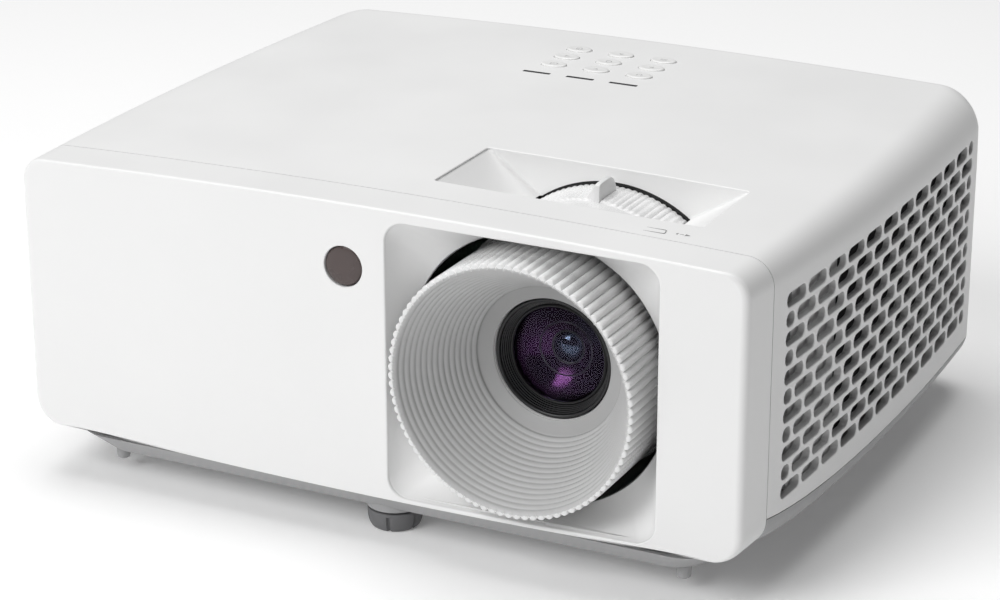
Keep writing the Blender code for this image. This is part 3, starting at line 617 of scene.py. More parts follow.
def corner_curve(y, m=26):
    """Points (x, z) from the side at z_split over the top corner to x_split, evenly spaced."""
    ex, ez = rear_e(y)
    hw, rt = half_width(y) - ex, corner_r(y, ex)
    xt = hw - rt
    zc = crown(xt) - ez - rt
    zs, xs = z_split(y), x_split(y)
    dense = []
    if zs < zc:
        dense.append((hw, zs))
    a0 = max(0.0, math.asin(min(1, max(-1, (zs - zc) / rt))))
    for i in range(61):
        a = a0 + (math.pi / 2 - a0) * i / 60
        dense.append((xt + rt * math.cos(a), zc + rt * math.sin(a)))
    if xs < xt:
        dense.append((xs, crown(xs) - ez))
    d = np.array(dense)
    L = np.r_[0, np.cumsum(np.hypot(*np.diff(d, axis=0).T))]
    t = np.linspace(0, L[-1], m)
    x, z = np.interp(t, L, d[:, 0]), np.interp(t, L, d[:, 1])
    x[0], z[0] = side_x(y, zs), zs
    x[-1], z[-1] = xs, crown(xs) - ez
    return list(zip(x, z))


ZS = [-36, -24, -12, 0, 12, 24, 36]
XS = [112 - 14 * i for i in range(17)]


def half_ring(y):
    """Right half of the upper casing outline at depth y, from the side joint to x = 0."""
    pts = [(half_width(y) - rear_e(y)[0], part_z(y) + GAP / 2)]
    zs = z_split(y)
    for z in ZS[:-1]:
        zz = -36 + (z + 36) * (zs + 36) / 72
        pts.append((side_x(y, zz), zz))
    pts += corner_curve(y)
    k = x_split(y) / 112
    for x in XS[1:9]:
        pts.append((x * k, crown(x * k) - rear_e(y)[1]))
    return pts


def full_ring(y):
    h = half_ring(y)
    return h + [(-x, z) for x, z in h[-2::-1]]


def ring_normals(y, fn=full_ring):
    """Points and outward normals of one ring, by central differences."""
    e = .02
    P = np.array([(x, y, z) for x, z in fn(y)])
    A = np.array([(x, y - e, z) for x, z in fn(y - e)])
    B = np.array([(x, y + e, z) for x, z in fn(min(DEPTH, y + e))])
    t = np.roll(P, -1, 0) - np.roll(P, 1, 0)
    t[0], t[-1] = P[1] - P[0], P[-1] - P[-2]
    n = np.cross(t, B - A)
    n /= np.maximum(1e-12, np.linalg.norm(n, axis=1))[:, None]
    c = P.copy(); c[:, 1] = 0
    flip = (n * c).sum(1) < 0
    n[flip] *= -1
    return P, n


# ------------------------------------------------------------------ top cover with both grilles
YS = [BEZEL_END + GAP + .1] + [26.0 + 10 * i for i in range(19)]
top = Skin()


def S_side(sign):
    def f(y, z):
        ex, ez = rear_e(y)
        hw, rt = half_width(y) - ex, corner_r(y, ex)
        zc = crown(hw - rt) - ez - rt
        dz = 0.0
        if z > zc:
            dz = -(z - zc) / math.sqrt(max(1e-9, rt * rt - (z - zc) ** 2))
        return (sign * side_x(y, z), y, z), (sign, -(0.0957 - 0.000718 * y), -dz)
    return as_np(f)


def S_top(x, y):
    return np.array((x, y, crown(x))), unit((3 * x / 1e4, 0, 1))


def slot_hole(y0, y1, zc, hh=2.4, rc=2.25, r=.3, depth=2.7):
    cu, a = (y0 + y1) / 2, (y1 - y0) / 2
    rc = min(rc, a - .05, hh - .05)
    return {"outline": lambda o: rrect(cu, zc, a + o, hh + o, rc + o, 5), "r": r, "seg": 3, "depth": depth}


PITCH, Z_TOP, SLOT_Y0, S_PITCH, SLOT_L = 6.414, 32.07, 26.6, 15.49, 13.8
right_holes, left_holes = [], []
for r_ in range(11):
    zc = Z_TOP - r_ * PITCH
    if r_ % 2 == 0:
        spans = [(SLOT_Y0 + k * S_PITCH, SLOT_Y0 + k * S_PITCH + SLOT_L) for k in range(11)]
        spans.append((SLOT_Y0 + 11 * S_PITCH, SLOT_Y0 + 11 * S_PITCH + SLOT_L / 2 - 1))
    else:
        spans = [(SLOT_Y0, SLOT_Y0 + SLOT_L / 2 - 1)]
        spans += [(SLOT_Y0 + (k + .5) * S_PITCH, SLOT_Y0 + (k + .5) * S_PITCH + SLOT_L) for k in range(11)]
    right_holes += [slot_hole(a, b, zc, depth=2.25 + .06 * r_) for a, b in spans]
    left_holes += [slot_hole(SLOT_Y0 + k * 4 * S_PITCH * .72, SLOT_Y0 + (k + 1) * 4 * S_PITCH * .72 - 1.7, zc) for k in range(4)]

for sign, holes in ((1, right_holes), (-1, left_holes)):
    border = [(y, -36) for y in YS] + [(YS[-1], z) for z in ZS[1:]] + [(y, 36) for y in YS[-2::-1]] + [(YS[0], z) for z in ZS[-2:0:-1]]
    top.patch(S_side(sign), 2.2, border, holes, [])

# the pocket over the zoom ring
PX0, PX1, PY0, PY1 = 8.0, 101.9, 33.0, 71.9


def pocket_outline(o, f=0.0):
    """Pocket outline at fraction f of its depth, with many points along the rear side."""
    x0, x1 = PX0 + 19.3 * f, PX1 - 20.0 * f
    c = rrect((x0 + x1) / 2, (PY0 + PY1) / 2, (x1 - x0) / 2 + o, (PY1 - PY0) / 2 + o, 1.3 + o, 6)
    a, b = c[6], c[7]
    return c[:7] + [(a[0] + (b[0] - a[0]) * i / 48, a[1]) for i in range(1, 48)] + c[7:]


def pocket_ring(f):
    """Ring of the pocket wall; its lower edge arches over the zoom ring at the rear."""
    ring = []
    for (x0, y0), (x1, y1) in zip(pocket_outline(0), pocket_outline(0, 1.0)):
        low = math.sqrt(max(37.0 ** 2, ARCH_R ** 2 - (x1 - LX) ** 2)) if y1 > PY1 - .01 else 37.0
        ring.append((x0 + (x1 - x0) * f, y0 + (y1 - y0) * f, (crown(x0) - .46) * (1 - f) + low * f))
    return ring


ARCH_R = 45.5
pocket = {"outline": pocket_outline, "r": .45, "seg": 4, "rings": [pocket_ring(f) for f in (.03, .1, .22, .4, .6, .8, .93, 1.0)]}
top_holes = [pocket]
for x in KEY_X:
    for y in KEY_Y:
        top_holes.append({"outline": (lambda o, x=x, y=y: ellipse(x, y, KEY_RX + .22 + o, KEY_RY + .22 + o, 44)), "r": .25, "seg": 3})
for x in LED_X:
    top_holes.append({"outline": (lambda o, x=x: rrect(x, 159.7, 5.45 + o, .98 + o, .4 + o, 3)), "r": .08, "seg": 2})
border = [(x, YS[0]) for x in XS[::-1]] + [(112, y) for y in YS[1:]] + [(x, YS[-1]) for x in XS[1:]] + [(-112, y) for y in YS[-2:0:-1]]
guard = [p for o in (2.6, 6.0) for p in rrect((PX0 + PX1) / 2, (PY0 + PY1) / 2, (PX1 - PX0) / 2 + o, (PY1 - PY0) / 2 + o, 1.3 + o, 3)]
guard += [(x, PY1 + o) for o in (2.6, 6.0) for x in range(12, 100, 6)]
for x in KEY_X:
    for y in KEY_Y:
        guard += ellipse(x, y, KEY_RX + 1.2, KEY_RY + 1.2, 22)
inside = lambda x, y: PX0 - 7 < x < PX1 + 7 and PY0 - 7 < y < PY1 + 7 or -26 < x < 30 and 155 < y < 201
fill = [(x, y) for x in range(-104, 105, 8) for y in range(24, 204, 9) if not inside(x, y)]
top.patch(S_top, 2.4, border, top_holes, guard + fill)

# corners between the side and the top, and the strip below the grilles
for sign in (1, -1):
    rows, low = [], []
    for y in YS:
        P, N = ring_normals(y)
        if sign < 0:
            P, N = P * (-1, 1, 1), N * (-1, 1, 1)
        k = len(ZS)
        row = []
        for j in range(k, k + 26):
            row.append(top.v(P[j], N[j], P[j] - N[j] * 2.3))
        rows.append(row)
        low.append([top.v(P[j], N[j], P[j] - N[j] * 2.3) for j in (0, 1)])
    top.grid(rows)
    top.grid(low)

# rounded rear end and the frame around the connector panel
rows = []
for y in (206.0, 207.6, 209.0, 211.0, 213.0, 215.0, 216.8, 218.4, 219.8, 221.0, 221.9, 222.5, 222.85, 223.0):
    P, N = ring_normals(y)
    if y == 223.0:
        N = np.tile((0.0, 1.0, 0.0), (len(P), 1))
    Q = P - N * 2.3
    if y > 208:
        Q[:, 1] = np.minimum(Q[:, 1], 220.7)
    rows.append([top.v(p, n, q) for p, n, q in zip(P, N, Q)])
top.grid(rows)
P, _ = ring_normals(223.0)
edge = []
for p in P:
    x, z = max(-116.2, min(116.2, p[0])), min(26.2, p[2])
    edge.append(top.v((x, 223.0, z), (0, 1, 0), (x, 219.0, z)))
top.grid([rows[-1], edge])
shell = top.build("top_shell", M_WHITE, "casing", slot="white_shell", replaces=("top_cover", "intake_grille", "exhaust_grille"))

# walls of the grille slots take the darker copy of the casing plastic: painted shade inside the slots
second_material(shell, M_SLOT_PAINTED_SHADE, lambda x, y, z: 24 < y < 208 and -36 < z < 36 and 118 < abs(x) < half_width(y) - .36)

# ------------------------------------------------------------------ front bezel
bez = Skin()
NB, MT, MB = 12, 24, 38


def section(y, t=0.0):
    ex = t + end_inset(y, DEPTH - t, REAR_R - t)
    ez = t + end_inset(y, DEPTH - t, REAR_RZ - t)
    eb = ez
    if t == 0.0:
        ex += end_inset(2.5 - y, 2.5, 2.5)
        ez += end_inset(0.8 - y, 0.8, 0.8)
        eb += end_inset(0.5 - y, 0.5, 0.5)
    hw = half_width(y) - ex
    rt = max(1.2, 8.5 + 7.0 * min(1.0, max(0.0, y) / 200) - t - .35 * (ex - t))
    rb = max(1.2, 9.5 - t - .35 * (ex - t))
    bot = lambda x: side_bottom(y) - 2.1 + 2.1 * min(1.0, abs(x) / 104) ** 2 + eb
    tp = lambda x: TOP_Z - 1.5 * (x / 100) ** 2 - ez
    pts = []
    xb, xt = hw - rb, hw - rt
    for i in range(MB + 1):
        x = -xb + 2 * xb * i / MB
        pts.append((x, bot(x)))
    for i in range(1, NB + 1):
        a = math.pi / 2 * i / NB
        pts.append((xb + rb * math.sin(a), bot(xb) + rb - rb * math.cos(a)))
    z0, z1 = bot(xb) + rb, tp(xt) - rt
    for i in range(1, 6):
        pts.append((hw, z0 + (z1 - z0) * i / 6))
    for i in range(0, NB + 1):
        a = math.pi / 2 * i / NB
        pts.append((xt + rt * math.cos(a), tp(xt) - rt + rt * math.sin(a)))
    for i in range(1, MT + 1):
        x = xt - 2 * xt * i / MT
        pts.append((x, tp(x)))
    for i in range(1, NB + 1):
        a = math.pi / 2 * i / NB
        pts.append((-xt - rt * math.sin(a), tp(xt) - rt + rt * math.cos(a)))
    for i in range(1, 6):
        pts.append((-hw, z1 + (z0 - z1) * i / 6))
    for i in range(0, NB):
        a = math.pi / 2 * i / NB
        pts.append((-xb - rb * math.cos(a), bot(xb) + rb - rb * math.sin(a)))
    return pts


def section_ring(y):
    e = .004
    ys = (max(0.0, y - e), y, y + e)
    A, P, B = (np.array([(x, q, z) for x, z in section(q)]) for q in ys)
    t = np.roll(P, -1, 0) - np.roll(P, 1, 0)
    n = np.cross(t, B - A)
    n /= np.maximum(1e-12, np.linalg.norm(n, axis=1))[:, None]
    c = P.copy(); c[:, 1] = 0
    n[(n * c).sum(1) < 0] *= -1
    if y == 0:
        n[:] = (0, -1, 0)
    return P, n


BY = [0.0, .03, .1, .22, .4, .62, .8, 1.1, 1.5, 2.0, 2.5, 7.0, 12.2, BEZEL_END - .05]
BT = 2.2
rows = []
for i, y in enumerate(BY):
    P, N = section_ring(y)
    yq = BT + .02 * i if y < 3 else y
    Q = [(x, yq, z) for x, z in section(yq, BT)]
    row = [bez.v(p, n, q) for p, n, q in zip(P, N, Q)]
    rows.append(row + row[:1])
mid = MB // 2
for a, b, y in zip(rows, rows[1:], BY):
    for j in range(len(a) - 1):
        if y == 12.2 and mid - 1 <= j <= mid:
            continue
        bez.face((a[j], a[j + 1], b[j + 1], b[j]))


def square_outline(o):
    """Rounded square of the recess, sampled along its sides too; its lower side runs parallel to the bezel's lower edge."""
    c, pts = rrect(LX, 0.0, RECESS + o, RECESS + o, 7.0 + o, 14), []
    for q in range(4):
        arc = c[15 * q:15 * q + 15]
        a, b = arc[-1], c[(15 * q + 15) % 60]
        pts += arc + [(a[0] + (b[0] - a[0]) * i / 26, a[1] + (b[1] - a[1]) * i / 26) for i in range(1, 26)]
    out = []
    for x, z in pts:
        if z < 0:
            z *= (1.0072 - .044 * (x / 104) ** 2) * (RECESS + min(o, .7)) / (RECESS + o)
        out.append((x, z))
    return out


def funnel_ring(s, grow=0.0):
    """Ring of the recess wall, from the rounded square at s = 0 to the round opening at s = 1."""
    k, ring = s ** 1.5, []
    for (x, z), (bx, bz) in zip(square_outline(grow), square_outline(0.0)):
        a = math.atan2(bz, bx - LX)
        ring.append((x * (1 - k) + (LX + (OPEN_R + grow) * math.cos(a)) * k, OPEN_Y * s,
                     z * (1 - k) + (OPEN_R + grow) * math.sin(a) * k))
    return ring


inner_rings = [funnel_ring(s) for s in (.06, .1, .16, .23, .31, .4, .5, .6, .7, .8, .9, .97, 1.0)]
back_rings = [funnel_ring(s, 1.9) for s in (1.0, .8, .6, .4, BT / OPEN_Y)]
recess = {"outline": square_outline, "r": .7, "seg": 5, "rings": inner_rings + back_rings, "auto_from": len(inner_rings)}
ir_hole = {"outline": lambda o: ellipse(IR_X, IR_Z, IR_R + o, IR_R + o, 72), "r": .35, "seg": 4}


def S_front(x, z):
    return np.array((x, 0.0, z)), np.array((0.0, -1.0, 0.0))


P0 = [(x, z) for x, z in section(0.0)]
fill = [(x, z) for x in range(-120, 0, 12) for z in (-36, -24, -12, 0, 12, 24, 38) if (x - IR_X) ** 2 + (z - IR_Z) ** 2 > 150]
fill += [(x, z) for x in (106, 114) for z in range(-36, 42, 12)]
bez.patch(S_front, BT, P0, [recess, ir_hole], fill, inner=lambda P, N: P - N * BT)
bez.build("bezel_shell", M_BEZEL, "casing", slot="white_shell", replaces=("front_bezel",))

# ------------------------------------------------------------------ bottom cover
def solid(name, verts, faces):
    me = bpy.data.meshes.new(name)
    me.from_pydata(verts, [], faces)
    bm = bmesh.new()
    bm.from_mesh(me)
    bmesh.ops.recalc_face_normals(bm, faces=bm.faces)
    bm.to_mesh(me)
    bm.free()
    ob = bpy.data.objects.new(name, me)
    bpy.context.scene.collection.objects.link(ob)
    return ob


def raw_loft(name, rings):
    n = len(rings[0])
    verts = [p for r in rings for p in r]
    faces = [tuple(range(n)), tuple((len(rings) - 1) * n + j for j in range(n))]
    for i in range(len(rings) - 1):
        for j in range(n):
            k = (j + 1) % n
            faces.append((i * n + j, i * n + k, (i + 1) * n + k, (i + 1) * n + j))
    return solid(name, verts, faces)


def raw_turn(name, profile, cu, cv, n):
    verts, idx, faces = [], [], []
    for r, w in profile:
        if r == 0:
            idx.append([len(verts)] * n)
            verts.append((cu, cv, w))
        else:
            idx.append(list(range(len(verts), len(verts) + n)))
            verts += [(cu + r * math.cos(TAU * i / n), cv + r * math.sin(TAU * i / n), w) for i in range(n)]
    for i in range(len(profile)):
        a, b = idx[i], idx[(i + 1) % len(profile)]
        for j in range(n):
            k = (j + 1) % n
            f = []
            for q in (a[j], a[k], b[k], b[j]):
                if q not in f:
                    f.append(q)
            if len(f) > 2:
                faces.append(tuple(f))
    return solid(name, verts, faces)


def raw_box(name, x0, x1, y0, y1, z0, z1):
    return raw_loft(name, [[(x0, y0, z), (x1, y0, z), (x1, y1, z), (x0, y1, z)] for z in (z0, z1)])


def cut(ob, other, op="DIFFERENCE"):
    mod = ob.modifiers.new("cut", "BOOLEAN")
    mod.operation, mod.solver, mod.object = op, "EXACT", other
    dg = bpy.context.evaluated_depsgraph_get()
    me = bpy.data.meshes.new_from_object(ob.evaluated_get(dg))
    ob.modifiers.clear()
    ob.data = me
    bpy.data.objects.remove(other, do_unlink=True)
    return ob


def adopt(ob, name, mat, body, replaces=(), sharp=28.0):
    """Turn a cut solid in design millimetres into a finished piece."""
    bm = bmesh.new()
    bm.from_mesh(ob.data)
    bmesh.ops.remove_doubles(bm, verts=bm.verts, dist=1e-4)
    bmesh.ops.dissolve_degenerate(bm, edges=bm.edges, dist=1e-4)
    bmesh.ops.triangulate(bm, faces=[f for f in bm.faces if len(f.verts) > 4])
    for v in bm.verts:
        v.co = T(v.co)
    me = bpy.data.meshes.new(name)
    bm.to_mesh(me)
    bm.free()
    bpy.data.objects.remove(ob, do_unlink=True)
    me.shade_smooth()
    me.set_sharp_from_angle(angle=math.radians(sharp))
    new = bpy.data.objects.new(name, me)
    bpy.context.scene.collection.objects.link(new)
    me.materials.append(mat)
    return finish_piece(new, body, replaces)


def tray_ring(half_x, y0, y1, r, z, n=12):
    pts = []
    for sx, cy, a0 in ((1, y1, 0), (-1, y1, 1), (-1, y0, 2), (1, y0, 3)):
        yy = cy - r if cy == y1 else cy + r
        for i in range(n + 1):
            a = math.pi / 2 * (a0 + i / n)
            pts.append((sx * (half_x - r) + r * math.cos(a), yy + r * math.sin(a), z))
    return pts


def case_ring(y, t=0.0):
    return [(x, y, z) for x, z in section(y, t)]


CY = [BEZEL_END + GAP, 22, 28, 36, 46, 60, 80, 107, 133, 160, 184, 200, 208, 211, 213.5, 216, 218, 219.6, 221, 222, 222.6, 222.9, 223]
under = raw_loft("under", [case_ring(y) for y in CY])
ys = [10.0, 16, 20, 24, 29, 34, 41, 48, 57, 66, 80, 96, 118, 140, 180, 240]
keep = raw_loft("keep", [[(-160, y, -80), (160, y, -80), (160, y, part_z(y) - GAP / 2), (-160, y, part_z(y) - GAP / 2)] for y in ys])
cut(under, keep, "INTERSECT")
tray = raw_loft("tray", [tray_ring(119.5, 3.0, 212, 14, -49.4), tray_ring(118.9, 3.6, 211.5, 14, -50.1), tray_ring(118.3, 4.4, 210.8, 14, -50.8),
                         tray_ring(112.7, 9.4, 206.1, 12.4, -56.2), tray_ring(111.9, 10.1, 205.3, 12.2, -56.75), tray_ring(110.5, 11.2, 204, 12, -57.0)])
cut(under, tray, "UNION")
end = DEPTH - WALL
ys = [BEZEL_END - 2, BEZEL_END, 40, 80, 133, 180, end - 12.6, end - 6, end - 2, end]
cut(under, raw_loft("hollow", [case_ring(y, WALL) for y in ys]))
cut(under, raw_loft("pan", [tray_ring(116.6, 5.9, 209, 12, -51.7, 6), tray_ring(115.6, 7.0, 208, 12, -52.4, 6), tray_ring(111.0, 11.0, 204.6, 10, -54.7, 6)]))
cut(under, raw_loft("chimney", [tray_ring(116.6, BEZEL_END + 2.6, 209, 12, -53.0, 6), tray_ring(116.6, BEZEL_END + 2.6, 209, 12, -44.0, 6)]))
cut(under, raw_box("rear_low", -116, 116, 217, 230, -40.4, -20))
FEET = (FOOT, (-100.0, 193.0), (100.0, 193.0))
SCREWS = ((-106.0, 76.0), (106.0, 76.0), (-84.0, 196.0), (84.0, 196.0))
for i, (x, y) in enumerate(FEET):
    prof = [(0, -58.6), (9.2, -58.6), (9.6, -58.3), (9.75, -57.6), (9.9, -55.6), (5.3, -54.8), (5.3, -42.0 if i == 0 else -40.5), (0, -42.0 if i == 0 else -40.5)]
    cut(under, raw_turn("boss", prof, x, y, 64), "UNION")
    cut(under, raw_turn("bore", [(0, -61), (3.4, -61), (3.4, -38), (0, -38)], x, y, 32))
for x, y in SCREWS:
    cut(under, raw_turn("seat", [(0, -60), (3.8, -60), (3.6, -56.6), (3.6, -55.4), (1.9, -55.3), (1.9, -50), (0, -50)], x, y, 32))
# shallow relief panels on the underside
for x0, x1, y0, y1, d in ((-62, 22, 60, 104, .5), (-96, -70, 112, 176, .5), (70, 96, 112, 176, .5)):
    cut(under, raw_loft("relief", [[(x, y, -60) for x, y in rrect((x0 + x1) / 2, (y0 + y1) / 2, (x1 - x0) / 2, (y1 - y0) / 2, 3, 6)],
                                   [(x, y, -57 + d) for x, y in rrect((x0 + x1) / 2, (y0 + y1) / 2, (x1 - x0) / 2, (y1 - y0) / 2, 3, 6)]]))
# the bottom cover's grey is partly painted shade under the body
adopt(under, "bottom_shell", M_GREY_AND_SHADE, "casing", replaces=("bottom_cover",))

# ------------------------------------------------------------------ focus ring with its hood
RIBS = 90


def rib_wave(a, n=RIBS):
    """0 in a valley, 1 along a crest, with broad crests and narrow valleys."""
    return abs(math.sin(a * n / 2)) ** .62


def focus_radius(r, w, a):
    if r > 41.2:
        return r - 1.1 + 1.1 * rib_wave(a)
    return r


prof = [(41.28, -7.3), (41.9, -7.29), (42.28, -7.22), (42.45, -7.05), (42.5, -6.75), (42.5, -2), (42.5, 6), (42.5, 16), (42.5, 29.9), (42.1, 30.4),
        (40.0, 30.4), (39.6, 30.0), (39.6, 9.0), (27.0, 24.6), (23.2, 26.4), (23.2, 44.0), (23.0, 44.2), (20.9, 44.2), (20.7, 44.0),
        (20.7, 24.35), (20.85, 24.1), (21.1, 23.98), (25.0, 22.72), (25.35, 22.6), (25.6, 22.4)]
R0, W0, R1, W1, STEPS = 25.62, 22.3, 40.62, -7.1, 15
cx, cw = (R1 - R0), (W1 - W0)
ln = math.hypot(cx, cw)
nx, nw = cw / ln, -cx / ln          # points from the wall towards the lens axis and the front
for k in range(STEPS):
    for f, d in ((0.0, 0.0), (.14, .10), (.30, .25), (.52, .30), (.74, .24), (.90, .08)):
        t = (k + f) / STEPS
        prof.append((R0 + cx * t + nx * d, W0 + cw * t + nw * d))
prof += [(40.7, -7.15), (40.9, -7.27)]
hood = lathe("focus_hood", prof, LX, 0.0, M_RING, "focus_ring", "y", 540, slot="ring_plastic", replaces=("focus_ring",), sharp=38.0, radius=focus_radius)

# the inside of the hood takes the darker copies of the ring plastic: painted shade in the cone and on the face around
# the lens
second_material(hood, M_CONE_PAINTED_SHADE, lambda x, y, z: math.hypot(x - LX, z) < 41.0 and y < 24.6)
second_material(hood, M_FACE_PAINTED_SHADE, lambda x, y, z: math.hypot(x - LX, z) < 25.7 and y < 25.0)

# ------------------------------------------------------------------ zoom ring with its lever
def zoom_radius(r, w, a):
    if r > 44.2 and w > 54.5:
        return r - .6 + .6 * rib_wave(a, 128)
    return r


prof = [(42.6, 36.6), (42.9, 36.5), (43.2, 36.7), (43.6, 38.5), (43.8, 42), (43.95, 46), (44.05, 50), (44.1, 54.0), (44.15, 54.4), (44.5, 54.6), (44.8, 54.9), (44.9, 55.4), (44.9, 60), (44.9, 66),
        (44.9, 70.4), (44.7, 71.0), (44.3, 71.2), (42.6, 71.2), (42.6, 55.0), (26.0, 55.0), (26.0, 66.0), (23.5, 66.0), (23.5, 46.0), (26.0, 46.0), (26.0, 52.4), (42.6, 52.4)]
lathe("zoom_band", prof, LX, 0.0, M_RING, "zoom_ring", "y", 540, slot="ring_plastic", replaces=("zoom_ring",), sharp=38.0, radius=zoom_radius)
side = [(54.0, 42.9), (54.1, 45.4), (54.25, 48.2), (54.5, 49.6), (55.1, 50.15), (56.5, 50.32), (59.0, 50.4), (61.8, 50.36), (63.8, 50.1),
        (65.2, 49.3), (66.5, 47.8), (67.3, 46.5), (67.6, 45.4), (67.6, 42.9)]
rings = []
for x, k, dy in ((-2.3, .38, 1.6), (-2.2, .42, 1.5), (-1.2, .60, 1.0), (-.2, .83, .45), (.4, .95, .15), (.8, .995, .02), (1.1, 1, 0), (2.0, 1, 0), (2.2, .995, .02), (2.32, .98, .08), (2.36, .955, .2)):
    rings.append([(LX + x, y + dy * (1 - (y - 54) / 13.6) - .5 * dy * (y - 54) / 13.6, 42.9 + (z - 42.9) * k) for y, z in side])
loops("zoom_lever", rings, M_LEVER, "zoom_ring", slot="ring_plastic", sharp=34.0)

# dark shroud seen through the gap behind the zoom ring
verts, faces, n = [], [], 72
for i in range(n + 1):
    a = math.radians(24 + 132 * i / n)
    verts += [(LX + r * math.cos(a), y, r * math.sin(a)) for r, y in ((40.0, 72.5), (46.0, 72.5), (46.0, 73.3), (40.0, 73.3))]
for i in range(n):
    for j in range(4):
        k = (j + 1) % 4
        faces.append((4 * i + j, 4 * i + k, 4 * i + 4 + k, 4 * i + 4 + j))
faces += [(0, 1, 2, 3), tuple(4 * n + j for j in range(4))]
publish("zoom_gap_shroud", verts, faces, M_DARK, "casing", slot="black_plastic", sharp=30.0)

# ------------------------------------------------------------------ lens
prof = [(20.2, 25.0), (20.2, 51.8), (20.0, 52.0), (16.9, 52.0), (16.7, 51.8), (16.7, 30.9), (17.25, 30.5), (17.3, 29.6)]
steps = 5
for k in range(steps):
    r, w = 17.3 + 1.75 * k / steps, 29.3 - 3.9 * k / steps
    prof += [(r + .03, w - .06), (r + .27, w - .10), (r + .32, w - .16), (r + .34, w - .7)]
prof += [(19.1, 25.3), (19.25, 25.05), (19.5, 24.92), (19.95, 24.9)]
lathe("lens_barrel", prof, LX, 0.0, M_BLACK, "front_lens_group", "y", 160, slot="black_plastic", replaces=("front_lens_cell",), sharp=24.0)
lathe("retaining_ring", [(17.15, 29.4), (17.15, 30.3), (16.3, 30.3), (16.2, 29.5), (16.25, 28.95), (16.45, 28.75), (16.7, 28.75), (16.8, 29.0), (17.0, 29.05)],
      LX, 0.0, M_BLACK, "front_lens_group", "y", 160, slot="black_plastic", replaces=("lens_retaining_ring",), sharp=24.0)


def dome(r_edge, y_pole, y_edge, n=22):
    """Spherical cap profile from the pole to the edge."""
    h = y_edge - y_pole
    R = (r_edge ** 2 + h * h) / (2 * h)
    return [(r_edge * i / n, y_pole + R - math.sqrt(R * R - (r_edge * i / n) ** 2)) for i in range(n + 1)]


front = dome(16.1, 26.3, 29.4)
lathe("front_glass", front + [(16.1, 30.3)] + [(r, 29.5 + .5 * (r / 15.2) ** 2) for r in (15.2, 11, 8, 5, 2.5)] + [(0, 29.5)],
      LX, 0.0, M_GLASS, "front_lens_group", "y", 128, slot="lens_glass", replaces=("front_lens",), sharp=24.0)
bowl = [(5.0, 37.5)] + [(r, 37.5 - 7.0 * (r / 15.6) ** 2) for r in np.linspace(5.4, 15.6, 20)]
lathe("second_element", bowl + [(16.4, 30.9), (16.4, 38.4), (5.0, 38.4)],
      LX, 0.0, M_DEEP, "front_lens_group", "y", 128, slot="lens_glass", sharp=24.0)
lathe("core_element", dome(4.9, 34.6, 36.6, 16) + [(4.9, 38.2), (0, 38.2)],
      LX, 0.0, M_CORE, "front_lens_group", "y", 96, slot="lens_glass", sharp=24.0)
lathe("element_stop", [(5.0, 36.5), (5.35, 36.35), (5.6, 36.55), (5.6, 36.8), (5.05, 36.85)], LX, 0.0, M_EDGE, "front_lens_group", "y", 96, slot="black_plastic", sharp=24.0)
lathe("element_ring", [(8.6, 35.25), (8.85, 35.0), (9.1, 35.1), (9.1, 35.3), (8.7, 35.45)], LX, 0.0, M_EDGE, "front_lens_group", "y", 96, slot="black_plastic", sharp=24.0)

# ------------------------------------------------------------------ keypad and indicators
KEYS = {(0, 0): "key_source", (1, 0): "key_down", (2, 0): "key_resync", (0, 1): "key_left", (1, 1): "key_enter", (2, 1): "key_right",
        (0, 2): "key_power", (1, 2): "key_up", (2, 2): "key_menu"}


def icon_outline(kind):
    """Simple generic sign on a key: list of closed outlines in millimetres about the key centre."""
    tri = lambda a: [[(1.15 * math.cos(a + t), 1.0 * math.sin(a + t)) for t in (0, 2.2, -2.2)]]
    ring = lambda r, w, g=0.0: [[((r) * math.cos(t), (r) * math.sin(t)) for t in np.linspace(math.pi / 2 + g, math.pi / 2 + TAU - g, 26)] +
                                [((r - w) * math.cos(t), (r - w) * math.sin(t)) for t in np.linspace(math.pi / 2 + TAU - g, math.pi / 2 + g, 26)]]
    bar = lambda x0, x1, y0, y1: [(x0, y0), (x1, y0), (x1, y1), (x0, y1)]
    return {"key_up": tri(math.pi / 2), "key_down": tri(-math.pi / 2), "key_left": tri(math.pi), "key_right": tri(0),
            "key_enter": ring(1.2, .35, .05), "key_power": ring(1.25, .32, .55) + [bar(-.16, .16, .3, 1.5)],
            "key_menu": [bar(-1.3, 1.3, y - .15, y + .15) for y in (-.8, 0, .8)],
            "key_source": [bar(-1.4, 1.4, -.95, -.65), bar(-1.4, 1.4, .65, .95), bar(-1.4, -1.1, -.6, .6), bar(1.1, 1.4, -.6, .6)],
            "key_resync": ring(1.2, .3, .7)}[kind]


def decal(name, outlines, cx, cy, z0, z1, mat, body, turn=0.0, **kw):
    """Thin raised sign made of closed outlines."""
    verts, faces = [], []
    c, s = math.cos(turn), math.sin(turn)
    for o in outlines:
        n, b = len(o), len(verts)
        for z in (z0, z1):
            verts += [(cx + u * c - v * s, cy + u * s + v * c, z) for u, v in o]
        faces += [tuple(b + i for i in range(n)), tuple(b + n + i for i in range(n))]
        faces += [(b + i, b + (i + 1) % n, b + n + (i + 1) % n, b + n + i) for i in range(n)]
    return publish(name, verts, faces, mat, body, sharp=30.0, **kw)


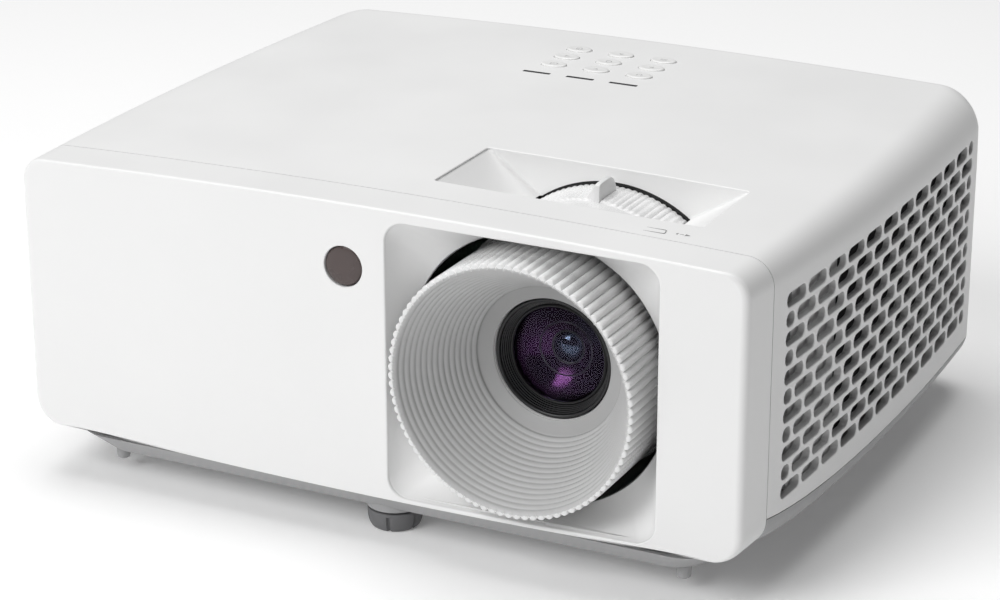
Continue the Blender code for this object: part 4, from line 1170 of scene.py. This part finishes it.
for (i, j), name in KEYS.items():
    x, y = KEY_X[i], KEY_Y[j]
    zt = crown(x)
    rings = []
    for rx, ry, z in ((6.3, 4.6, 46.3), (6.4, 4.7, 46.4), (6.4, 4.7, 47.1), (6.3, 4.6, 47.2), (KEY_RX + .05, KEY_RY + .05, 47.35), (KEY_RX, KEY_RY, 47.6), (KEY_RX, KEY_RY, zt + .06),
                      (KEY_RX - .06, KEY_RY - .06, zt + .24), (KEY_RX - .22, KEY_RY - .22, zt + .38), (KEY_RX - .45, KEY_RY - .45, zt + .47), (KEY_RX - .8, KEY_RY - .8, zt + .52),
                      (KEY_RX - 1.6, KEY_RY - 1.4, zt + .48), (KEY_RX - 2.8, KEY_RY - 2.2, zt + .41), (.8, .5, zt + .39)):
        rings.append([(u, v, z) for u, v in ellipse(x, y, rx, ry, 48)])
    loops(name + "_cap", rings, M_KEY, name, slot="key_plastic", replaces=(name,), sharp=40.0)
    decal(name + "_sign", icon_outline(name), x, y, zt + .32, zt + .47, M_ICON, name, turn=math.pi, slot="grey_base")

for x, name in zip(LED_X, ("led_power", "led_light_source", "led_temperature")):
    zt = crown(x)
    bevel_block(name + "_pipe", x - 5.37, x + 5.37, 158.8, 160.6, 44.2, zt - .02, M_LED, "casing", r=.35, e=.05, slot="light_pipe", replaces=(name,))

# zoom direction sign beside the pocket
z0 = crown(88)
sign = [(-5.2, 1.3), (-4.0, -1.75), (4.9, -1.75), (5.4, -1.3), (4.9, 1.3), (4.4, 1.7), (-4.9, 1.7)]
thin = [(u * .955, v * .87) for u, v in sign]
decal("zoom_sign", [[sign[i], sign[(i + 1) % 7], thin[(i + 1) % 7], thin[i]] for i in range(7)], 88.6, 23.0, z0 - .03, z0 + .03, M_SIGN, "casing", slot="grey_base")
decal("zoom_sign_marks", [[(-2.6, 0), (-1.0, -.8), (-1.0, .8)], [(-.5, -.12), (.9, -.12), (.9, .12), (-.5, .12)], [(3.0, 0), (1.4, .8), (1.4, -.8)]],
      98.6, 23.6, crown(98) - .05, crown(98) + .03, M_SIGN, "casing", slot="grey_base")

# ------------------------------------------------------------------ receiver window
lathe("receiver_window", [(0, .28), (2.2, .29), (4.2, .34), (5.6, .42), (6.2, .55), (6.5, .8), (6.58, 1.1), (6.58, 3.0), (8.0, 3.3), (8.1, 3.5), (8.1, 4.5), (7.9, 4.6), (0, 4.6)],
      IR_X, IR_Z, M_IR, "casing", "y", 96, slot="ir_filter", replaces=("ir_window",), sharp=24.0)

# ------------------------------------------------------------------ filter and dark sheets behind the side grilles; the dark sheets are painted shade inside the casing
for name, sign, y0, y1, d0, mat in (("intake_filter", 1, 36.7, 71.5, 3.2, M_BAFFLE), ("intake_shade_sheet", 1, 72.5, 205.0, 8.0, M_SHADE_SHEET),
                                    ("exhaust_shade_sheet", -1, 29.6, 205.0, 8.0, M_SHADE_SHEET)):
    sk = Skin()
    ys_ = [y0 + (y1 - y0) * i / 24 for i in range(25)]
    zs_ = [-35.2, -20, 0, 20, 35.2]

    def S_b(y, z, sign=sign, d0=d0):
        return (sign * (half_width(y) - d0), y, z), (sign, -(0.0957 - 0.000718 * y), 0)
    border = [(y, zs_[0]) for y in ys_] + [(y1, z) for z in zs_[1:]] + [(y, zs_[-1]) for y in ys_[-2::-1]] + [(y0, z) for z in zs_[-2:0:-1]]
    sk.patch(as_np(S_b), 1.3, border, [], [])
    sk.build(name, mat, "casing", slot="black_plastic")

# ------------------------------------------------------------------ feet
x, y = FOOT
n = 144


def knob_radius(r, w, a):
    if r < 7 or w > -60.4:
        return r
    g = 0.0
    for i in range(6):
        d = math.atan2(math.sin(a - math.radians(-77 + 60 * i)), math.cos(a - math.radians(-77 + 60 * i))) * 9.2
        if abs(d) < .62:
            g = max(g, .95 * math.sqrt(max(0, 1 - (d / .62) ** 2)))
    return r - g


prof = [(2.3, -59.3), (8.9, -59.3), (9.15, -59.4), (9.3, -59.7), (9.3, -60.38), (9.28, -60.5), (9.2, -62.4), (8.95, -63.8), (8.6, -64.8), (8.25, -65.5), (7.8, -65.88), (7.4, -66.0), (0, -66.0), (0, -64.4), (2.3, -64.4)]
lathe("front_knob", prof, x, y, M_RUBBER, "front_foot_knob", "z", 216, slot="foot_rubber", replaces=("front_foot_knob",), sharp=32.0, radius=knob_radius)
for (x, y), name in zip(FEET[1:], ("rear_foot_left", "rear_foot_right")):
    lathe(name + "_pad", [(0, -65.7), (6.2, -65.7), (6.5, -66.0), (7.7, -66.0), (8.2, -65.8), (8.6, -65.3), (8.9, -64), (9.2, -59.8), (9.0, -59.4), (8.6, -59.3), (3.0, -59.3), (3.0, -46.0), (2.4, -45.0), (0, -45.0)],
          x, y, M_RUBBER, "casing", "z", 96, slot="foot_rubber", replaces=(name,), sharp=28.0)
for x, name in ((-105.6, "corner_peg_left"), (105.6, "corner_peg_right")):
    lathe(name + "_cap", [(0, -57.3), (2.4, -57.3), (2.42, -58), (2.3, -60.6), (2.1, -61.3), (1.6, -61.7), (.9, -61.8), (0, -61.8)], x, 15.5, M_GREY_AND_SHADE, "casing", "z", 48,
          slot="foot_rubber", replaces=(name,), sharp=40.0)
for i, (x, y) in enumerate(SCREWS):
    lathe("cover_screw_%d" % (i + 1), [(0, -56.0), (.7, -56.1), (1.2, -56.75), (2.2, -56.7), (2.8, -56.5), (3.1, -56.1), (3.1, -55.8), (1.5, -55.6), (1.5, -44.0), (0, -44.0)], x, y, M_STEEL, "casing", "z", 48,
          slot="steel", replaces=("case_screw_%d" % (i + 1),), sharp=28.0)

# ------------------------------------------------------------------ finishes of the pieces carried over from the frame
FINISH = {
    M_BLACK: ["zoom_lens_cell", "exhaust_fan_frame", "exhaust_fan_rotor", "intake_fan_frame", "intake_fan_rotor", "speaker", "lan_port", "audio_jack", "ac_inlet"],
    M_GLASS: ["zoom_lens"],
    M_ALU: ["lens_mount", "optical_engine", "dmd_heat_sink", "laser_heat_sink", "laser_module"],
    M_STEEL: ["front_foot_screw", "wheel_motor", "hdmi_port_a", "hdmi_port_b", "usb_port", "serial_port"],
    M_PCB: ["power_supply", "main_board", "keypad_board", "ir_receiver_board"],
    M_PHOS: ["phosphor_wheel"],
    M_PANEL: ["rear_panel"],
}
for mat, names in FINISH.items():
    for n_ in names:
        o = NODES[n_]
        for s_ in o.material_slots:
            s_.material = mat

# ------------------------------------------------------------------ stage, light and camera
cam_data = bpy.data.cameras.new("camera")
cam = bpy.data.objects.new("camera", cam_data)
bpy.context.scene.collection.objects.link(cam)
az, el, roll = map(math.radians, (26.6106, 20.4283, -0.0792))
back = Vector((math.sin(az) * math.cos(el), -math.cos(az) * math.cos(el), math.sin(el)))
right = Vector((math.cos(az), math.sin(az), 0))
up = back.cross(right)
r2 = right * math.cos(roll) + up * math.sin(roll)
u2 = -right * math.sin(roll) + up * math.cos(roll)
R = Matrix((r2, u2, back)).transposed().to_4x4()
R.translation = Vector((.419798, -.852102, .408751))
cam.matrix_world = R
cam_data.sensor_fit = "HORIZONTAL"
cam_data.sensor_width = 36.0
cam_data.lens = 103.375
cam_data.shift_x = 0.003812
cam_data.shift_y = -0.016106
cam_data.clip_end = 20.0
bpy.context.scene.camera = cam

me = bpy.data.meshes.new("floor")
me.from_pydata([(-6, -6, 0), (6, -6, 0), (6, 6, 0), (-6, 6, 0)], [], [(0, 1, 2, 3)])
floor = bpy.data.objects.new("floor", me)
bpy.context.scene.collection.objects.link(floor)
fm, nt, b = nodes_of("floor_white")
g = noise(nt, coords(nt), 3.0)
nt.links.new(ramp(nt, g, [(.3, (.93, .93, .93)), (.7, (.95, .95, .95))]), b.inputs["Base Color"])
b.inputs["Roughness"].default_value = .9
b.inputs["Specular IOR Level"].default_value = .1
b.inputs["Emission Color"].default_value = (1, 1, 1, 1)
b.inputs["Emission Strength"].default_value = .10
me.materials.append(fm)

world = bpy.data.worlds.new("studio")
bpy.context.scene.world = world
world.use_nodes = True
bg = world.node_tree.nodes["Background"]
bg.inputs["Color"].default_value = (1, 1, 1, 1)
bg.inputs["Strength"].default_value = .07


def area(name, loc, target, size, power, size_y=None):
    d = bpy.data.lights.new(name, "AREA")
    d.shape = "RECTANGLE"
    d.size, d.size_y = size, size_y or size
    d.energy = power
    o = bpy.data.objects.new(name, d)
    bpy.context.scene.collection.objects.link(o)
    o.location = loc
    o.rotation_euler = (Vector(target) - Vector(loc)).to_track_quat("-Z", "Y").to_euler()
    return o


area("key", (-.72, -1.72, 1.42), (0, 0, .06), 1.1, 30.5)
area("overhead", (-.15, .25, 1.9), (0, 0, .1), 1.6, 27)

view = bpy.context.scene.view_settings
view.view_transform = "Standard"
view.look = "None"
view.exposure = 0.0
view.gamma = 1.0
